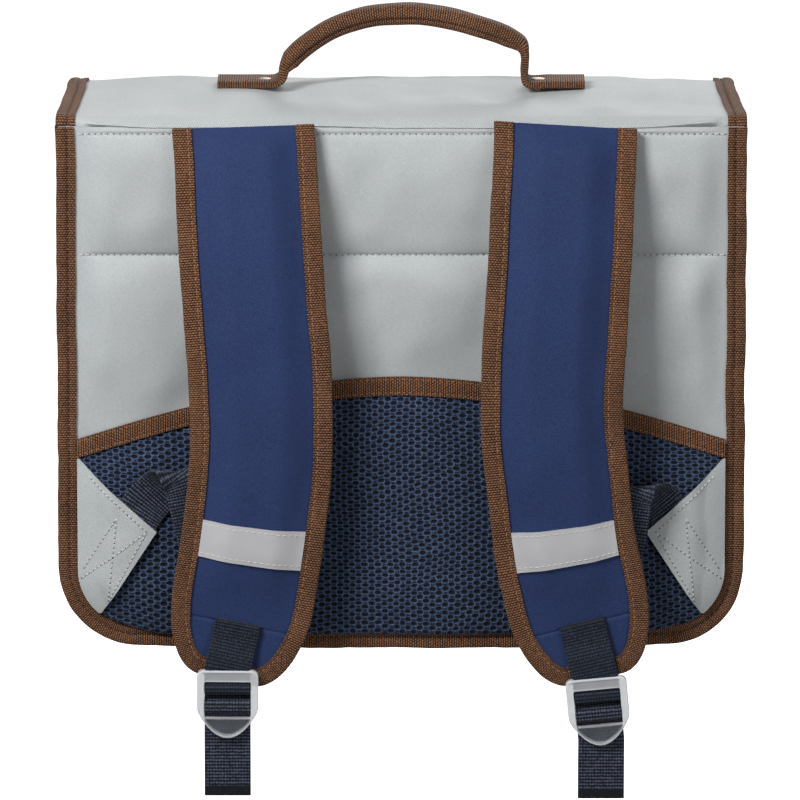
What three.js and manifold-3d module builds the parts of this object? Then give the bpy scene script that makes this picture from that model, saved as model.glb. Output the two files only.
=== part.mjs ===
// School ransel: a boxy satchel of bound cloth, carried on the back by two padded straps.
// Millimetres. +Z is up, -Y is the side that lies on the wearer's back and +X is the right
// as that side is looked at. The origin is under the middle of the handle's grip, where the
// hanging bag is held.
import * as THREE from 'three';
import Module from 'manifold-3d';
import { mergeVertices } from 'three/addons/utils/BufferGeometryUtils.js';

const wasm = await Module();
wasm.setup();

// Clearance between neighbouring pieces
const gap = 0.3;

// Bag, over its bindings
const bagWidth = 380;
const bagDepth = 150;
const panelHeight = 292;
const frontHeight = 262;
const cornerRadius = 44;
const clothWall = 2;
const rimThickness = 3;
const gussetBow = 3;
const gussetInset = 9;
const mouthSlope = 1;

// Binding tape, folded round every raw edge
const tapeWidth = 10.5;
const tapeWall = 1.2;
const innerTapeWidth = 8;

// Quilting of the back, measured down from its top
const quiltCrown = 5;
const quiltValley = 1;
const topSeamDrop = 4;
const midSeamDrop = 71.5;
const padRise = 18;
const frontCrown = 2;

// Lumbar pad of spacer mesh and the tape over its upper edge
const lumbarMiddle = 148;
const lumbarSide = 112;
const lumbarEdge = 2.4;
const meshCrown = 10;
const meshRise = 34;

// Corner patches over the roots of the webs
const patchFoot = 19;
const patchTip = 67;
const patchReach = 44;
const patchDip = 4;
const patchWall = 1.5;
const patchSlope = 15;

// Flap: seam corner, domed top, front corner and front drop
const flapTuck = 8;
const topSlope = 12;
const seamRadius = 5;
const frontRadius = 22;
const flapBottom = 110;
const flapCornerRadius = 40;
const flapPullIn = 3.5;

// Padded shoulder straps
const strapWidth = 78.5;
const strapDrop = 303.6;
const strapInset = 105;
const strapStandOff = 36;
const strapRim = 4.5;
const strapCrown = 6;
const strapCrownRise = 20;
const strapEndLength = 50;
const strapEndFlat = 30;
const strapSeam = 36;

// Webbing and the reflective strips
const webWidth = 25.4;
const webThickness = 1.5;
const tabThickness = 1.3;
const tabLength = 34;
const loopHeight = 33;
const reflectorWidth = 21.5;
const reflectorUp = 79;
const reflectorWall = 1;

// Ladder-lock buckles
const buckleWidth = 34;
const buckleLength = 38.5;
const buckleThickness = 5;
const buckleRail = 3.6;
const buckleHeadLength = 6.5;
const buckleTongueLength = 11.5;
const buckleBarWidth = 3.4;
const buckleBarClear = 2.2;
const buckleCover = 1.6;

// Handle of folded webbing, riveted through its feet
const handleSpan = 204;
const handleRise = 37.5;
const handleFootWidth = 25;
const handleFootThickness = 2.6;
const gripWidth = 15;
const gripThickness = 11.5;
const rivetShare = 0.745;
const rivetHead = 9;
const rivetShank = 4;
const rivetDome = 1.5;

// Closures on the front
const claspSpread = 105;
const claspWidth = 28;
const claspLength = 52;
const claspThickness = 6;
const claspFoot = 16;

// Places that follow from the sizes above
const halfWidth = bagWidth / 2;
const backFace = -bagDepth / 2;
const seat = tapeWall + gap;
const panelEdge = halfWidth - tapeWidth - gap;
const strapSpread = halfWidth - strapInset;
const rivetSpread = handleSpan / 2 * rivetShare;

const smooth = (t) => {
  const k = Math.min(1, Math.max(0, t));
  return k * k * (3 - 2 * k);
};

// Reads one named column of a table at a place along it, on a smooth curve through the rows
function follow(rows, place, column, at) {
  let i = 0;
  while (i < rows.length - 2 && at > rows[i + 1][place]) i += 1;
  const slope = (k) => {
    const a = rows[Math.max(0, k - 1)];
    const b = rows[Math.min(rows.length - 1, k + 1)];
    return (b[column] - a[column]) / (b[place] - a[place]);
  };
  const from = rows[i];
  const to = rows[i + 1];
  const span = to[place] - from[place];
  const t = Math.min(1, Math.max(0, (at - from[place]) / span));
  const rest = 1 - t;
  return from[column] * (1 + 2 * t) * rest * rest
    + to[column] * (3 - 2 * t) * t * t
    + slope(i) * span * t * rest * rest
    - slope(i + 1) * span * t * t * rest;
}

const range = (count, start, end) =>
  Array.from({ length: count + 1 }, (_, i) => start + (end - start) * i / count);

// Closed solid through rings of points, with a flat contour of the first and the last ring
function loft(rings, firstContour, lastContour = firstContour) {
  const clockwise = THREE.ShapeUtils.isClockWise(firstContour);
  const ordered = clockwise ? rings.map((ring) => [...ring].reverse()) : rings;
  const contours = [firstContour, lastContour].map((c) => (clockwise ? [...c].reverse() : c));
  const count = ordered[0].length;
  const positions = ordered.flat().flatMap((p) => [p.x, p.y, p.z]);
  const index = [];
  for (let i = 0; i + 1 < ordered.length; i += 1) {
    for (let j = 0; j < count; j += 1) {
      const a = i * count + j;
      const b = i * count + (j + 1) % count;
      index.push(a, b, b + count, a, b + count, a + count);
    }
  }
  const last = (ordered.length - 1) * count;
  for (const [a, b, c] of THREE.ShapeUtils.triangulateShape(contours[0], [])) {
    index.push(a, c, b);
  }
  for (const [a, b, c] of THREE.ShapeUtils.triangulateShape(contours[1], [])) {
    index.push(last + a, last + b, last + c);
  }
  return faceOutward(positions, index);
}

// Turns a shell's triangles round where they enclose a negative volume
function faceOutward(positions, index) {
  let volume = 0;
  const corner = (k) => new THREE.Vector3().fromArray(positions, 3 * k);
  for (let i = 0; i < index.length; i += 3) {
    const [a, b, c] = [corner(index[i]), corner(index[i + 1]), corner(index[i + 2])];
    volume += a.dot(b.cross(c));
  }
  const geometry = new THREE.BufferGeometry();
  geometry.setAttribute('position', new THREE.Float32BufferAttribute(positions, 3));
  geometry.setIndex(volume < 0 ? [...index].reverse() : index);
  return geometry;
}

// Lays flat-pattern sections of [a, b, height] points on a surface and lofts them
function loftPattern(sections, place, across) {
  const contour = (section) => section.map((p) => new THREE.Vector2(p[across], p[2]));
  const rings = sections.map((section) => section.map(([a, b, h]) => place(a, b, h)));
  return loft(rings, contour(sections[0]), contour(sections[sections.length - 1]));
}

// Outward normals of an open outline of [a, b] points that runs with the pattern on its left
function withNormals(outline) {
  return outline.map(([a, b], i) => {
    const [a0, b0] = outline[Math.max(0, i - 1)];
    const [a1, b1] = outline[Math.min(outline.length - 1, i + 1)];
    const before = new THREE.Vector2(a - a0, b - b0).normalize();
    const after = new THREE.Vector2(a1 - a, b1 - b).normalize();
    const along = before.clone().add(after).normalize();
    const stretch = 1 / Math.max(0.5, along.dot(before.lengthSq() > 0 ? before : after));
    return { a, b, outA: along.y * stretch, outB: -along.x * stretch };
  });
}

// Folded tape round an edge: a U whose wide leg lies on the outer face
function foldedTape(outline, thickness, place, innerWidth = tapeWidth) {
  const soft = tapeWall / 2;
  const section = [
    [-tapeWidth, gap], [-tapeWidth, seat], [-soft, seat], [0, seat - soft],
    [0, -thickness - seat + soft], [-soft, -thickness - seat],
    [-innerWidth, -thickness - seat], [-innerWidth, -thickness - gap],
    [-tapeWall, -thickness - gap], [-tapeWall, gap],
  ];
  const rings = withNormals(outline).map(({ a, b, outA, outB }) =>
    section.map(([out, h]) => place(a + outA * out, b + outB * out, h)));
  return loft(rings, section.map(([out, h]) => new THREE.Vector2(out, h)));
}

// Band of rectangular section along stations of { point, across, normal, wide, thick }
function band(stations) {
  const corners = [[-0.5, -0.5], [0.5, -0.5], [0.5, 0.5], [-0.5, 0.5]];
  const rings = stations.map(({ point, across, normal, wide, thick }) => corners.map(([u, h]) =>
    point.clone().addScaledVector(across, u * wide).addScaledVector(normal, h * thick)));
  return loft(rings, corners.map(([u, h]) => new THREE.Vector2(u, h)));
}

const toSolid = (geometry) => {
  const bare = geometry.clone();
  bare.deleteAttribute('normal');
  bare.deleteAttribute('uv');
  const merged = mergeVertices(bare);
  return new wasm.Manifold(new wasm.Mesh({
    numProp: 3,
    vertProperties: new Float32Array(merged.attributes.position.array),
    triVerts: new Uint32Array(merged.index.array),
  }));
};

const fromSolid = (solid) => {
  const mesh = solid.getMesh();
  const geometry = new THREE.BufferGeometry();
  geometry.setAttribute('position', new THREE.BufferAttribute(mesh.vertProperties, 3));
  geometry.setIndex(new THREE.BufferAttribute(mesh.triVerts, 1));
  return geometry;
};

// The bag's own frame has z = 0 at the bottom of the bindings and y = 0 at mid depth
const onBack = (x, z, h) => new THREE.Vector3(x, backFace - h, z);
const onFront = (x, z, h) => new THREE.Vector3(x, -backFace + h, z);

// U outline of a panel with round lower corners, from the top left round to the top right
const cornerSteps = 6;

function panelOutline(inset, top) {
  const reach = halfWidth - cornerRadius;
  const radius = cornerRadius - inset;
  const left = range(cornerSteps, 0, Math.PI / 2).map((angle) =>
    [-reach - radius * Math.cos(angle), cornerRadius - radius * Math.sin(angle)]);
  const right = left.map(([x, z]) => [-x, z]).reverse();
  return [[inset - halfWidth, top], ...left, ...right, [halfWidth - inset, top]];
}

// How far a point of a panel lies inside the bindings' outer edge
function insetOf(x, z) {
  const fromSide = halfWidth - Math.abs(x);
  const inCorner = fromSide < cornerRadius && z < cornerRadius;
  const corner = cornerRadius - Math.hypot(cornerRadius - fromSide, cornerRadius - z);
  return inCorner ? corner : Math.min(fromSide, z);
}

// Columns of a panel, close together where its corners are round
function panelColumns(inset, inner) {
  const radius = cornerRadius - inset;
  const reach = halfWidth - cornerRadius;
  const corner = range(cornerSteps, 0, Math.PI / 2).map((angle) => reach + radius * Math.cos(angle));
  const right = [...corner, ...inner.map((share) => share * reach)];
  return [...right.map((x) => -x), ...[...right].reverse()].filter((x, i, all) => x !== all[i - 1]);
}

function lowerEdge(x, inset) {
  const along = Math.max(0, Math.abs(x) - (halfWidth - cornerRadius));
  const radius = cornerRadius - inset;
  return cornerRadius - Math.sqrt(Math.max(0, radius * radius - along * along));
}

const lumbarLine = (x) => lumbarSide
  + (lumbarMiddle - lumbarSide) * (1 - (Math.abs(x) / panelEdge) ** 1.75);

// Height of the quilted back over its rim: pillows between the sewn rows
function quiltHeight(x, z) {
  const top = panelHeight - topSeamDrop;
  const middle = panelHeight - midSeamDrop;
  const bottom = lumbarLine(x) + tapeWidth / 2;
  const [low, high] = z > middle ? [middle, top] : [bottom, middle];
  const t = (z - low) / (high - low);
  const pillow = t > 0 && t < 1 ? 1 - Math.abs(2 * t - 1) ** 2.5 : 0;
  const inside = smooth((insetOf(x, z) - tapeWidth - 2 * gap) / padRise);
  const started = smooth((z - lumbarLine(x)) / (tapeWidth / 2));
  return inside * started * (quiltValley + (quiltCrown - quiltValley) * pillow);
}

// Height of the mesh pad, full in the middle and drawn in to its bound edge and its tape
function meshHeight(x, z) {
  const fromEdge = (insetOf(x, z) - tapeWidth) / meshRise;
  const fromTape = (lumbarLine(x) - z) / meshRise;
  const fullness = (t) => 1 - (1 - Math.min(1, Math.max(0, t))) ** 2.4;
  return lumbarEdge + (meshCrown - lumbarEdge) * fullness(fromEdge) * fullness(fromTape);
}

function makeBackPanel() {
  const columns = panelColumns(seat, [0.88, 0.72, 0.5, 0.25, 0]);
  const top = panelHeight - topSeamDrop;
  const middle = panelHeight - midSeamDrop;
  const rows = [0, 0.08, 0.25, 0.5, 0.75, 0.92, 1];
  const sections = columns.map((x) => {
    const foot = lowerEdge(x, seat);
    const line = Math.max(foot + tapeWidth, lumbarLine(x));
    const start = line + tapeWidth / 2;
    const heights = [
      foot, foot + tapeWidth / 2, line - 1,
      ...rows.map((t) => start + (middle - start) * t),
      ...rows.slice(1).map((t) => middle + (top - middle) * t),
      panelHeight,
    ];
    return [
      ...heights.map((z) => [x, z, quiltHeight(x, z)]),
      [x, panelHeight, -rimThickness],
      [x, foot, -rimThickness],
    ];
  });
  return loftPattern(sections, onBack, 1);
}

function makeFrontPanel() {
  const columns = panelColumns(seat, [0.6, 0.2]);
  const sections = columns.map((x) => {
    const foot = lowerEdge(x, seat);
    const heights = [foot, ...range(5, foot + tapeWidth, frontHeight - tapeWidth), frontHeight];
    const crown = (z) => frontCrown * smooth((insetOf(x, z) - tapeWidth - gap) / padRise)
      * smooth((frontHeight - z) / padRise);
    return [
      ...heights.map((z) => [x, z, crown(z)]),
      [x, frontHeight, -rimThickness],
      [x, foot, -rimThickness],
    ];
  });
  return loftPattern(sections, onFront, 1);
}

// Side profile of the flap's outer face, as straight and round stretches walked from its tuck
const flapStart = { y: backFace + rimThickness + gap, z: panelHeight + gap - flapTuck };
const flapFrontFace = bagDepth / 2 + Math.max(seat, frontCrown) + gap + seat + clothWall;
const slope = THREE.MathUtils.degToRad(topSlope);
const topRun = flapFrontFace - flapStart.y - (seamRadius + frontRadius) * (1 - Math.sin(slope));
const domeRadius = topRun / (2 * Math.sin(slope));
const shoulderZ = panelHeight + gap + (seamRadius - frontRadius) * Math.cos(slope);
const flapStretches = [
  { length: flapTuck, radius: Infinity },
  { length: seamRadius * (Math.PI / 2 - slope), radius: seamRadius },
  { length: domeRadius * 2 * slope, radius: domeRadius },
  { length: frontRadius * (Math.PI / 2 - slope), radius: frontRadius },
  { length: shoulderZ - flapBottom, radius: Infinity },
];
const flapMarks = flapStretches.reduce((marks, { length }) =>
  [...marks, marks[marks.length - 1] + length], [0]);
const flapEnd = flapMarks[flapMarks.length - 1];

function flapProfile(s) {
  let { y, z } = flapStart;
  let heading = Math.PI / 2;
  let left = Math.max(0, s);
  for (const { length, radius } of flapStretches) {
    const step = Math.min(left, length);
    const turned = step / radius;
    if (radius === Infinity) {
      y += step * Math.cos(heading);
      z += step * Math.sin(heading);
    } else {
      y += radius * (Math.sin(heading) - Math.sin(heading - turned));
      z += radius * (Math.cos(heading - turned) - Math.cos(heading));
    }
    heading -= turned;
    left -= step;
    if (left <= 0) break;
  }
  return { y, z, heading };
}

function onFlap(x, s, h) {
  const { y, z, heading } = flapProfile(s);
  return new THREE.Vector3(x, y - Math.sin(heading) * h, z + Math.cos(heading) * h);
}

const flapPeak = flapProfile(flapMarks[2] + flapStretches[2].length / 2);

// Half width of the flap over its binding, drawn in past the seam and round at its lower corners
function flapHalfWidth(s) {
  const width = halfWidth - flapPullIn * smooth((s - flapMarks[1]) / (bagDepth / 2));
  const past = Math.max(0, s - (flapEnd - flapCornerRadius));
  return width - flapCornerRadius
    + Math.sqrt(Math.max(0, flapCornerRadius * flapCornerRadius - past * past));
}

const flapStations = [
  ...range(3, flapMarks[1], flapMarks[2]),
  ...range(8, flapMarks[2], flapMarks[3]).slice(1),
  ...range(5, flapMarks[3], flapMarks[4]).slice(1),
  flapEnd - flapCornerRadius,
  ...range(cornerSteps, 0, Math.PI / 2).slice(1).map((angle) =>
    flapEnd - flapCornerRadius * (1 - Math.sin(angle))),
];

function makeFlap() {
  const columns = [-1, -0.5, 0, 0.5, 1];
  const tuckWidth = halfWidth - gussetInset - clothWall - gap;
  const row = (width, s) => [
    ...columns.map((share) => [width * share, s, 0]),
    ...[...columns].reverse().map((share) => [width * share, s, -clothWall]),
  ];
  const sections = [
    row(tuckWidth, 0),
    row(tuckWidth, flapMarks[1] - gap),
    ...flapStations.map((s) => {
      const shorter = flapEnd - seat * (s - flapEnd + flapCornerRadius) / flapCornerRadius;
      return row(flapHalfWidth(s) - seat, s > flapEnd - flapCornerRadius ? s + shorter - flapEnd : s);
    }),
  ];
  const whole = toSolid(loftPattern(sections, onFlap, 0));
  return fromSolid(rivetHoles().reduce((cut, hole) => cut.subtract(hole), whole));
}

function makeFlapBinding() {
  const right = flapStations.map((s) => [flapHalfWidth(s), s]);
  const left = right.map(([x, s]) => [-x, s]).reverse();
  return foldedTape([...right, ...left], clothWall, onFlap);
}

// Top of the side walls: under the bound edge of the flap, and falling to the front panel
const flapUnderside = flapStations.map((s) => onFlap(0, s, -clothWall - seat - 2 * gap));

function mouthHeight(y) {
  const next = Math.max(1, flapUnderside.findIndex((point) => point.y >= y));
  const [from, to] = [flapUnderside[next - 1], flapUnderside[next]];
  const t = Math.max(0, (y - from.y) / (to.y - from.y));
  const under = from.z - 2 * gap + (to.z - from.z) * t;
  return Math.min(under, frontHeight + (bagDepth / 2 - y) * mouthSlope);
}

// One channel of cloth with its edges turned out, bowed between the panels
function makeGusset() {
  const inner = -backFace - rimThickness - gap;
  const bow = [
    { place: -1, out: 0 }, { place: -0.8, out: 0.6 }, { place: -0.5, out: 1 },
    { place: 0, out: 1 },
    { place: 0.5, out: 1 }, { place: 0.8, out: 0.6 }, { place: 1, out: 0 },
  ];
  const wall = inner - clothWall;
  const outer = bow.map(({ place, out }) => [gussetInset - gussetBow * out, wall * place]);
  const inside = [...bow].reverse().map(({ place, out }) =>
    [gussetInset + clothWall - gussetBow * out, inner * place]);
  const section = [[seat, -wall], ...outer, [seat, wall], [seat, inner], ...inside, [seat, -inner]];
  const outline = withNormals(panelOutline(0, panelHeight));
  const rings = outline.map(({ a, b, outA, outB }, i) => section.map(([inset, y]) => {
    const atMouth = i === 0 || i === outline.length - 1;
    const z = atMouth ? mouthHeight(y) : b - outB * inset;
    return new THREE.Vector3(a - outA * inset, y, z);
  }));
  return loft(rings, section.map(([inset, y]) => new THREE.Vector2(inset, y)));
}

const panelStack = rimThickness + gap + clothWall;

const makeBackBinding = () =>
  foldedTape(panelOutline(0, panelHeight), panelStack, onBack, innerTapeWidth);

const makeFrontBinding = () =>
  foldedTape(panelOutline(0, frontHeight), panelStack, onFront, innerTapeWidth);

function makeMeshPad() {
  const inset = tapeWidth + gap;
  const columns = panelColumns(inset, [0.88, 0.72, 0.5, 0.25, 0]);
  const rows = [0, 0.03, 0.08, 0.16, 0.28, 0.45, 0.65, 0.82, 0.94, 1];
  const sections = columns.map((x) => {
    const foot = lowerEdge(x, inset);
    const top = lumbarLine(x) - 1 - gap;
    const heights = rows.map((t) => foot + (top - foot) * t);
    return [
      ...heights.map((z) => [x, z, meshHeight(x, z)]),
      [x, top, gap],
      [x, foot, gap],
    ];
  });
  return loftPattern(sections, onBack, 1);
}

function makeLumbarTape() {
  const side = panelEdge;
  const columns = [
    ...panelColumns(tapeWidth + gap, [0.88, 0.72, 0.5, 0.25, 0]),
    ...panelColumns(seat, []),
  ].filter((x) => Math.abs(x) < side - gap).concat([-side, side]).sort((a, b) => a - b);
  const half = tapeWidth / 2;
  const seatHeight = (x) => Math.max(...range(6, -half, half).map((step) => {
    const z = lumbarLine(x) + step;
    return Math.max(quiltHeight(x, z), meshHeight(x, Math.min(z, lumbarLine(x) - 1)));
  })) + gap;
  const sections = columns.map((x) => {
    const z = lumbarLine(x);
    const h = seatHeight(x);
    return [[x, z + half, h], [x, z - half, h], [x, z - half, h + tapeWall], [x, z + half, h + tapeWall]];
  });
  return loftPattern(sections, onBack, 1);
}

// Triangular patch: its long side along the binding and its tip towards the strap
function makeCornerPatch(side) {
  const top = lumbarSide - tapeWidth / 2 - gap;
  const outerEdge = (z) => {
    const drop = Math.max(0, cornerRadius - z);
    const radius = cornerRadius - tapeWidth - gap;
    return halfWidth - cornerRadius + Math.sqrt(Math.max(0, radius * radius - drop * drop));
  };
  const tip = panelEdge - patchReach;
  const rows = [
    { up: 1, reach: 0.03 }, { up: 0.75, reach: 0.25 }, { up: 0.5, reach: 0.5 },
    { up: 0.2, reach: 0.8 }, { up: 0, reach: 1 },
  ];
  const upper = rows.map(({ up, reach }) => {
    const dip = patchDip * 4 * up * (1 - up);
    return { z: patchTip + (top - patchTip) * up - dip, inner: panelEdge - patchReach * reach };
  });
  const footInner = outerEdge(patchFoot) - patchWall;
  const lower = range(6, 0, 1).slice(1).map((down) => ({
    z: patchTip + (patchFoot - patchTip) * down,
    inner: tip + (footInner - tip) * down,
  }));
  const full = meshCrown + 3 * gap + webThickness;
  const edge = lumbarEdge + 3 * gap;
  const sections = [...upper, ...lower].map(({ z, inner }) => {
    const outer = outerEdge(z);
    const fold = Math.max(inner + (outer - inner) / 3, outer - patchSlope);
    const xs = [inner, (inner + fold) / 2, fold, outer];
    const height = (x) => edge + (full - edge) * Math.min(1, (outer - x) / patchSlope);
    return [
      ...xs.map((x) => [side * x, z, height(x)]),
      ...[...xs].reverse().map((x) => [side * x, z, height(x) + patchWall]),
    ];
  });
  return loftPattern(sections, onBack, 0);
}

// Middle line of each strap from the top seam down. Shares: down of strapDrop, left and right
// of strapSpread from the bag's middle, out of strapStandOff from the back.
const strapTable = [
  { down: 0, left: 1.015, right: 1.061, out: 0.15 },
  { down: 0.04, left: 1.005, right: 1.055, out: 0.28 },
  { down: 0.12, left: 0.99, right: 1.042, out: 0.52 },
  { down: 0.22, left: 0.969, right: 1.024, out: 0.73 },
  { down: 0.33, left: 0.94, right: 0.999, out: 0.87 },
  { down: 0.44, left: 0.91, right: 0.975, out: 0.95 },
  { down: 0.52, left: 0.902, right: 0.973, out: 0.99 },
  { down: 0.6, left: 0.909, right: 0.998, out: 1 },
  { down: 0.69, left: 0.941, right: 1.033, out: 0.985 },
  { down: 0.77, left: 0.979, right: 1.073, out: 0.96 },
  { down: 0.84, left: 1.02, right: 1.125, out: 0.93 },
  { down: 0.92, left: 1.077, right: 1.197, out: 0.9 },
  { down: 1, left: 1.145, right: 1.268, out: 0.88 },
];

// Surface through the middle of a strap: u across it, s down it and h outwards
function makeStrapPath(side) {
  const column = side < 0 ? 'left' : 'right';
  const at = (down) => onBack(
    side * strapSpread * follow(strapTable, 'down', column, down),
    panelHeight - strapDrop * down,
    strapStandOff * follow(strapTable, 'down', 'out', down),
  );
  const points = range(96, 0, 1).map(at);
  const lengths = points.reduce((marks, point, i) =>
    (i ? [...marks, marks[i - 1] + point.distanceTo(points[i - 1])] : [0]), []);
  const length = lengths[lengths.length - 1];
  const frame = (s) => {
    const k = Math.min(points.length - 2, Math.max(0, lengths.findIndex((mark) => mark >= s) - 1));
    const span = lengths[k + 1] - lengths[k];
    const point = points[k].clone().lerp(points[k + 1], (s - lengths[k]) / span);
    const ahead = points[Math.min(points.length - 1, k + 3)];
    const down = ahead.clone().sub(points[Math.max(0, k - 2)]).normalize();
    const across = new THREE.Vector3(1, 0, 0).addScaledVector(down, -down.x).normalize();
    return { point, down, across, normal: down.clone().cross(across) };
  };
  const place = (u, s, h) => {
    const { point, across, normal } = frame(s);
    return point.clone().addScaledVector(across, u).addScaledVector(normal, h);
  };
  return { side, length, frame, place };
}

// Half width of a strap at a distance from its end: an elliptical end with a flat foot
function strapHalfWidth(fromEnd, inset) {
  const reach = strapEndLength - inset;
  const past = Math.max(0, 1 - Math.max(0, fromEnd) / reach);
  const corner = (strapWidth - strapEndFlat) / 2 - inset;
  return strapEndFlat / 2 + corner * Math.sqrt(Math.max(0, 1 - past * past));
}

const strapStations = (length) => [
  ...range(13, 0, length - strapEndLength),
  ...range(7, 1, 0).slice(1).map((t) => length - strapEndLength * t * t),
];

// Padding over the strap's flat rim, nil under its binding, at its seam and over its end
function strapPadding(path, u, s) {
  const fromEnd = path.length - s;
  const fromSide = strapHalfWidth(fromEnd, 0) - Math.abs(u);
  return strapCrown * smooth((fromSide - tapeWidth - gap) / strapCrownRise)
    * smooth((fromEnd - strapSeam) / strapCrownRise) * smooth(s / strapCrownRise);
}

function makeShoulderStrap(path) {
  const fronts = [1, 0, -0.35, -0.7];
  const sections = strapStations(path.length).map((mark) => {
    const s = Math.min(mark, path.length - seat);
    const half = strapHalfWidth(path.length - seat - s, seat);
    const rim = Math.max(half / 4, half - tapeWidth);
    const edge = [half, rim, rim * 0.75, rim * 0.45];
    const us = [...edge.map((u) => -u), 0, ...[...edge].reverse()];
    const backs = [half, rim, rim * 0.5, -rim * 0.5, -rim, -half];
    return [
      ...us.map((u) => [u, s, strapRim / 2 + strapPadding(path, u, s)]),
      ...backs.map((u) => [u, s, -strapRim / 2 - strapPadding(path, u, s) / 3]),
    ];
  });
  return loftPattern(sections, path.place, 0);
}

function makeStrapBinding(path) {
  const right = strapStations(path.length).map((s) => [strapHalfWidth(path.length - s, 0), s]);
  const left = right.map(([u, s]) => [-u, s]).reverse();
  const place = (u, s, h) => path.place(u, s, h + strapRim / 2);
  return foldedTape([...right, ...left], strapRim, place);
}

function makeReflector(path) {
  const middle = path.length - reflectorUp;
  const half = strapHalfWidth(reflectorUp, 0) - tapeWidth - gap;
  const us = [-1, -0.75, -0.45, 0, 0.45, 0.75, 1].map((share) => half * share);
  const sections = range(2, middle - reflectorWidth / 2, middle + reflectorWidth / 2).map((s) => {
    const height = (u) => strapRim / 2 + strapPadding(path, u, s) + 2 * gap;
    return [
      ...us.map((u) => [u, s, height(u)]),
      ...[...us].reverse().map((u) => [u, s, height(u) + reflectorWall]),
    ];
  });
  return loftPattern(sections, path.place, 0);
}

// How each buckle lies: its top over the strap's end, its swing in degrees from the strap
// towards plumb, and the height of the lower end of the web that hangs out of it
const buckleLie = {
  left: { overlap: 7, swing: 13, tailEnd: -77.5 },
  right: { overlap: 2.5, swing: 8.5, tailEnd: -79.2 },
};

// Frame of a buckle on the end of a strap: u across, w down from its top and h outwards

function makeBuckleFrame(path) {
  const end = path.frame(path.length);
  const { overlap, swing, tailEnd } = buckleLie[path.side < 0 ? 'left' : 'right'];
  const turn = -path.side * THREE.MathUtils.degToRad(swing);
  const down = end.down.clone().applyAxisAngle(end.normal, turn);
  const across = end.normal.clone().cross(down);
  const lift = strapRim / 2 + seat + gap + tabThickness + gap / 2;
  const origin = end.point.clone().addScaledVector(end.down, -overlap)
    .addScaledVector(end.normal, lift);
  const place = (u, w, h) => origin.clone().addScaledVector(across, u)
    .addScaledVector(down, w).addScaledVector(end.normal, h);
  return { place, across, down, normal: end.normal, lift, overlap, tailEnd };
}

const tabBarTop = buckleHeadLength + buckleBarClear;
const tabBarEnd = tabBarTop + buckleBarWidth;
const windowEnd = buckleLength - buckleTongueLength;
const webBarEnd = windowEnd - 2 * gap - webThickness - buckleBarClear;
const webBarTop = webBarEnd - buckleBarWidth;
const barBack = gap;
const barFront = buckleThickness / 2;

// Round outline of the tongue. Shares: across of half the buckle's width, past the window of
// the tongue's length.
const tongue = {
  shoulder: { across: 1, past: 0.35 },
  side: { across: 0.6, past: 0.62 },
  tip: { across: 0, past: 1.38 },
};

function makeBuckle(frame) {
  const half = buckleWidth / 2;
  const shape = new THREE.Shape();
  const corner = buckleRail;
  const on = (side, { across, past }) => [side * half * across, windowEnd + buckleTongueLength * past];
  shape.moveTo(-half + corner, 0);
  shape.lineTo(half - corner, 0);
  shape.quadraticCurveTo(half, 0, half, corner);
  shape.lineTo(half, windowEnd - gap);
  shape.quadraticCurveTo(...on(1, tongue.shoulder), ...on(1, tongue.side));
  shape.quadraticCurveTo(...on(1, tongue.tip), ...on(-1, tongue.side));
  shape.quadraticCurveTo(...on(-1, tongue.shoulder), -half, windowEnd - gap);
  shape.lineTo(-half, corner);
  shape.quadraticCurveTo(-half, 0, -half + corner, 0);
  const clear = half - buckleRail;
  const block = (w0, w1, h0, h1, wide) => toSolid(new THREE.BoxGeometry(wide, w1 - w0, h1 - h0)
    .translate(0, (w0 + w1) / 2, (h0 + h1) / 2));
  const plate = toSolid(new THREE.ExtrudeGeometry(shape,
    { depth: buckleThickness, bevelEnabled: false, curveSegments: 4 }));
  const cover = buckleThickness - buckleCover;
  const body = plate
    .subtract(block(buckleHeadLength, windowEnd, -gap, buckleThickness + gap, 2 * clear))
    .subtract(block(-gap, buckleHeadLength + gap, -gap, cover, 2 * clear))
    .add(block(tabBarTop, tabBarEnd, barBack, barFront, buckleWidth - buckleRail))
    .add(block(webBarTop, webBarEnd, barBack, barFront, buckleWidth - buckleRail));
  const turned = new THREE.Matrix4().makeBasis(frame.across, frame.down, frame.normal)
    .setPosition(frame.place(0, 0, 0));
  const geometry = fromSolid(body);
  geometry.applyMatrix4(turned);
  return faceOutward([...geometry.attributes.position.array], [...geometry.index.array]);
}

// Stations of a web along points, each lying with its width along a given direction
function webStations(points, wide, thick, steps) {
  const curve = new THREE.CatmullRomCurve3(points.map(({ point }) => point), false, 'centripetal');
  return range(steps * (points.length - 1), 0, 1).map((t) => {
    const at = t * (points.length - 1);
    const k = Math.min(points.length - 2, Math.floor(at));
    const along = curve.getTangent(t);
    const wanted = points[k].across.clone().lerp(points[k + 1].across, at - k);
    const across = wanted.addScaledVector(along, -wanted.dot(along)).normalize();
    const normal = along.clone().cross(across).normalize();
    return { point: curve.getPoint(t), across, normal, wide, thick };
  });
}

// Points of a web's turn round the lower side of a bar, from its front to its back
function roundBar(from, to, clear) {
  const soft = clear * 0.72;
  return [
    [from + 0.8, barFront + clear], [to - 0.2, barFront + clear],
    [to + soft, barFront + soft], [to + clear, (barFront + barBack) / 2],
  ];
}

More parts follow.
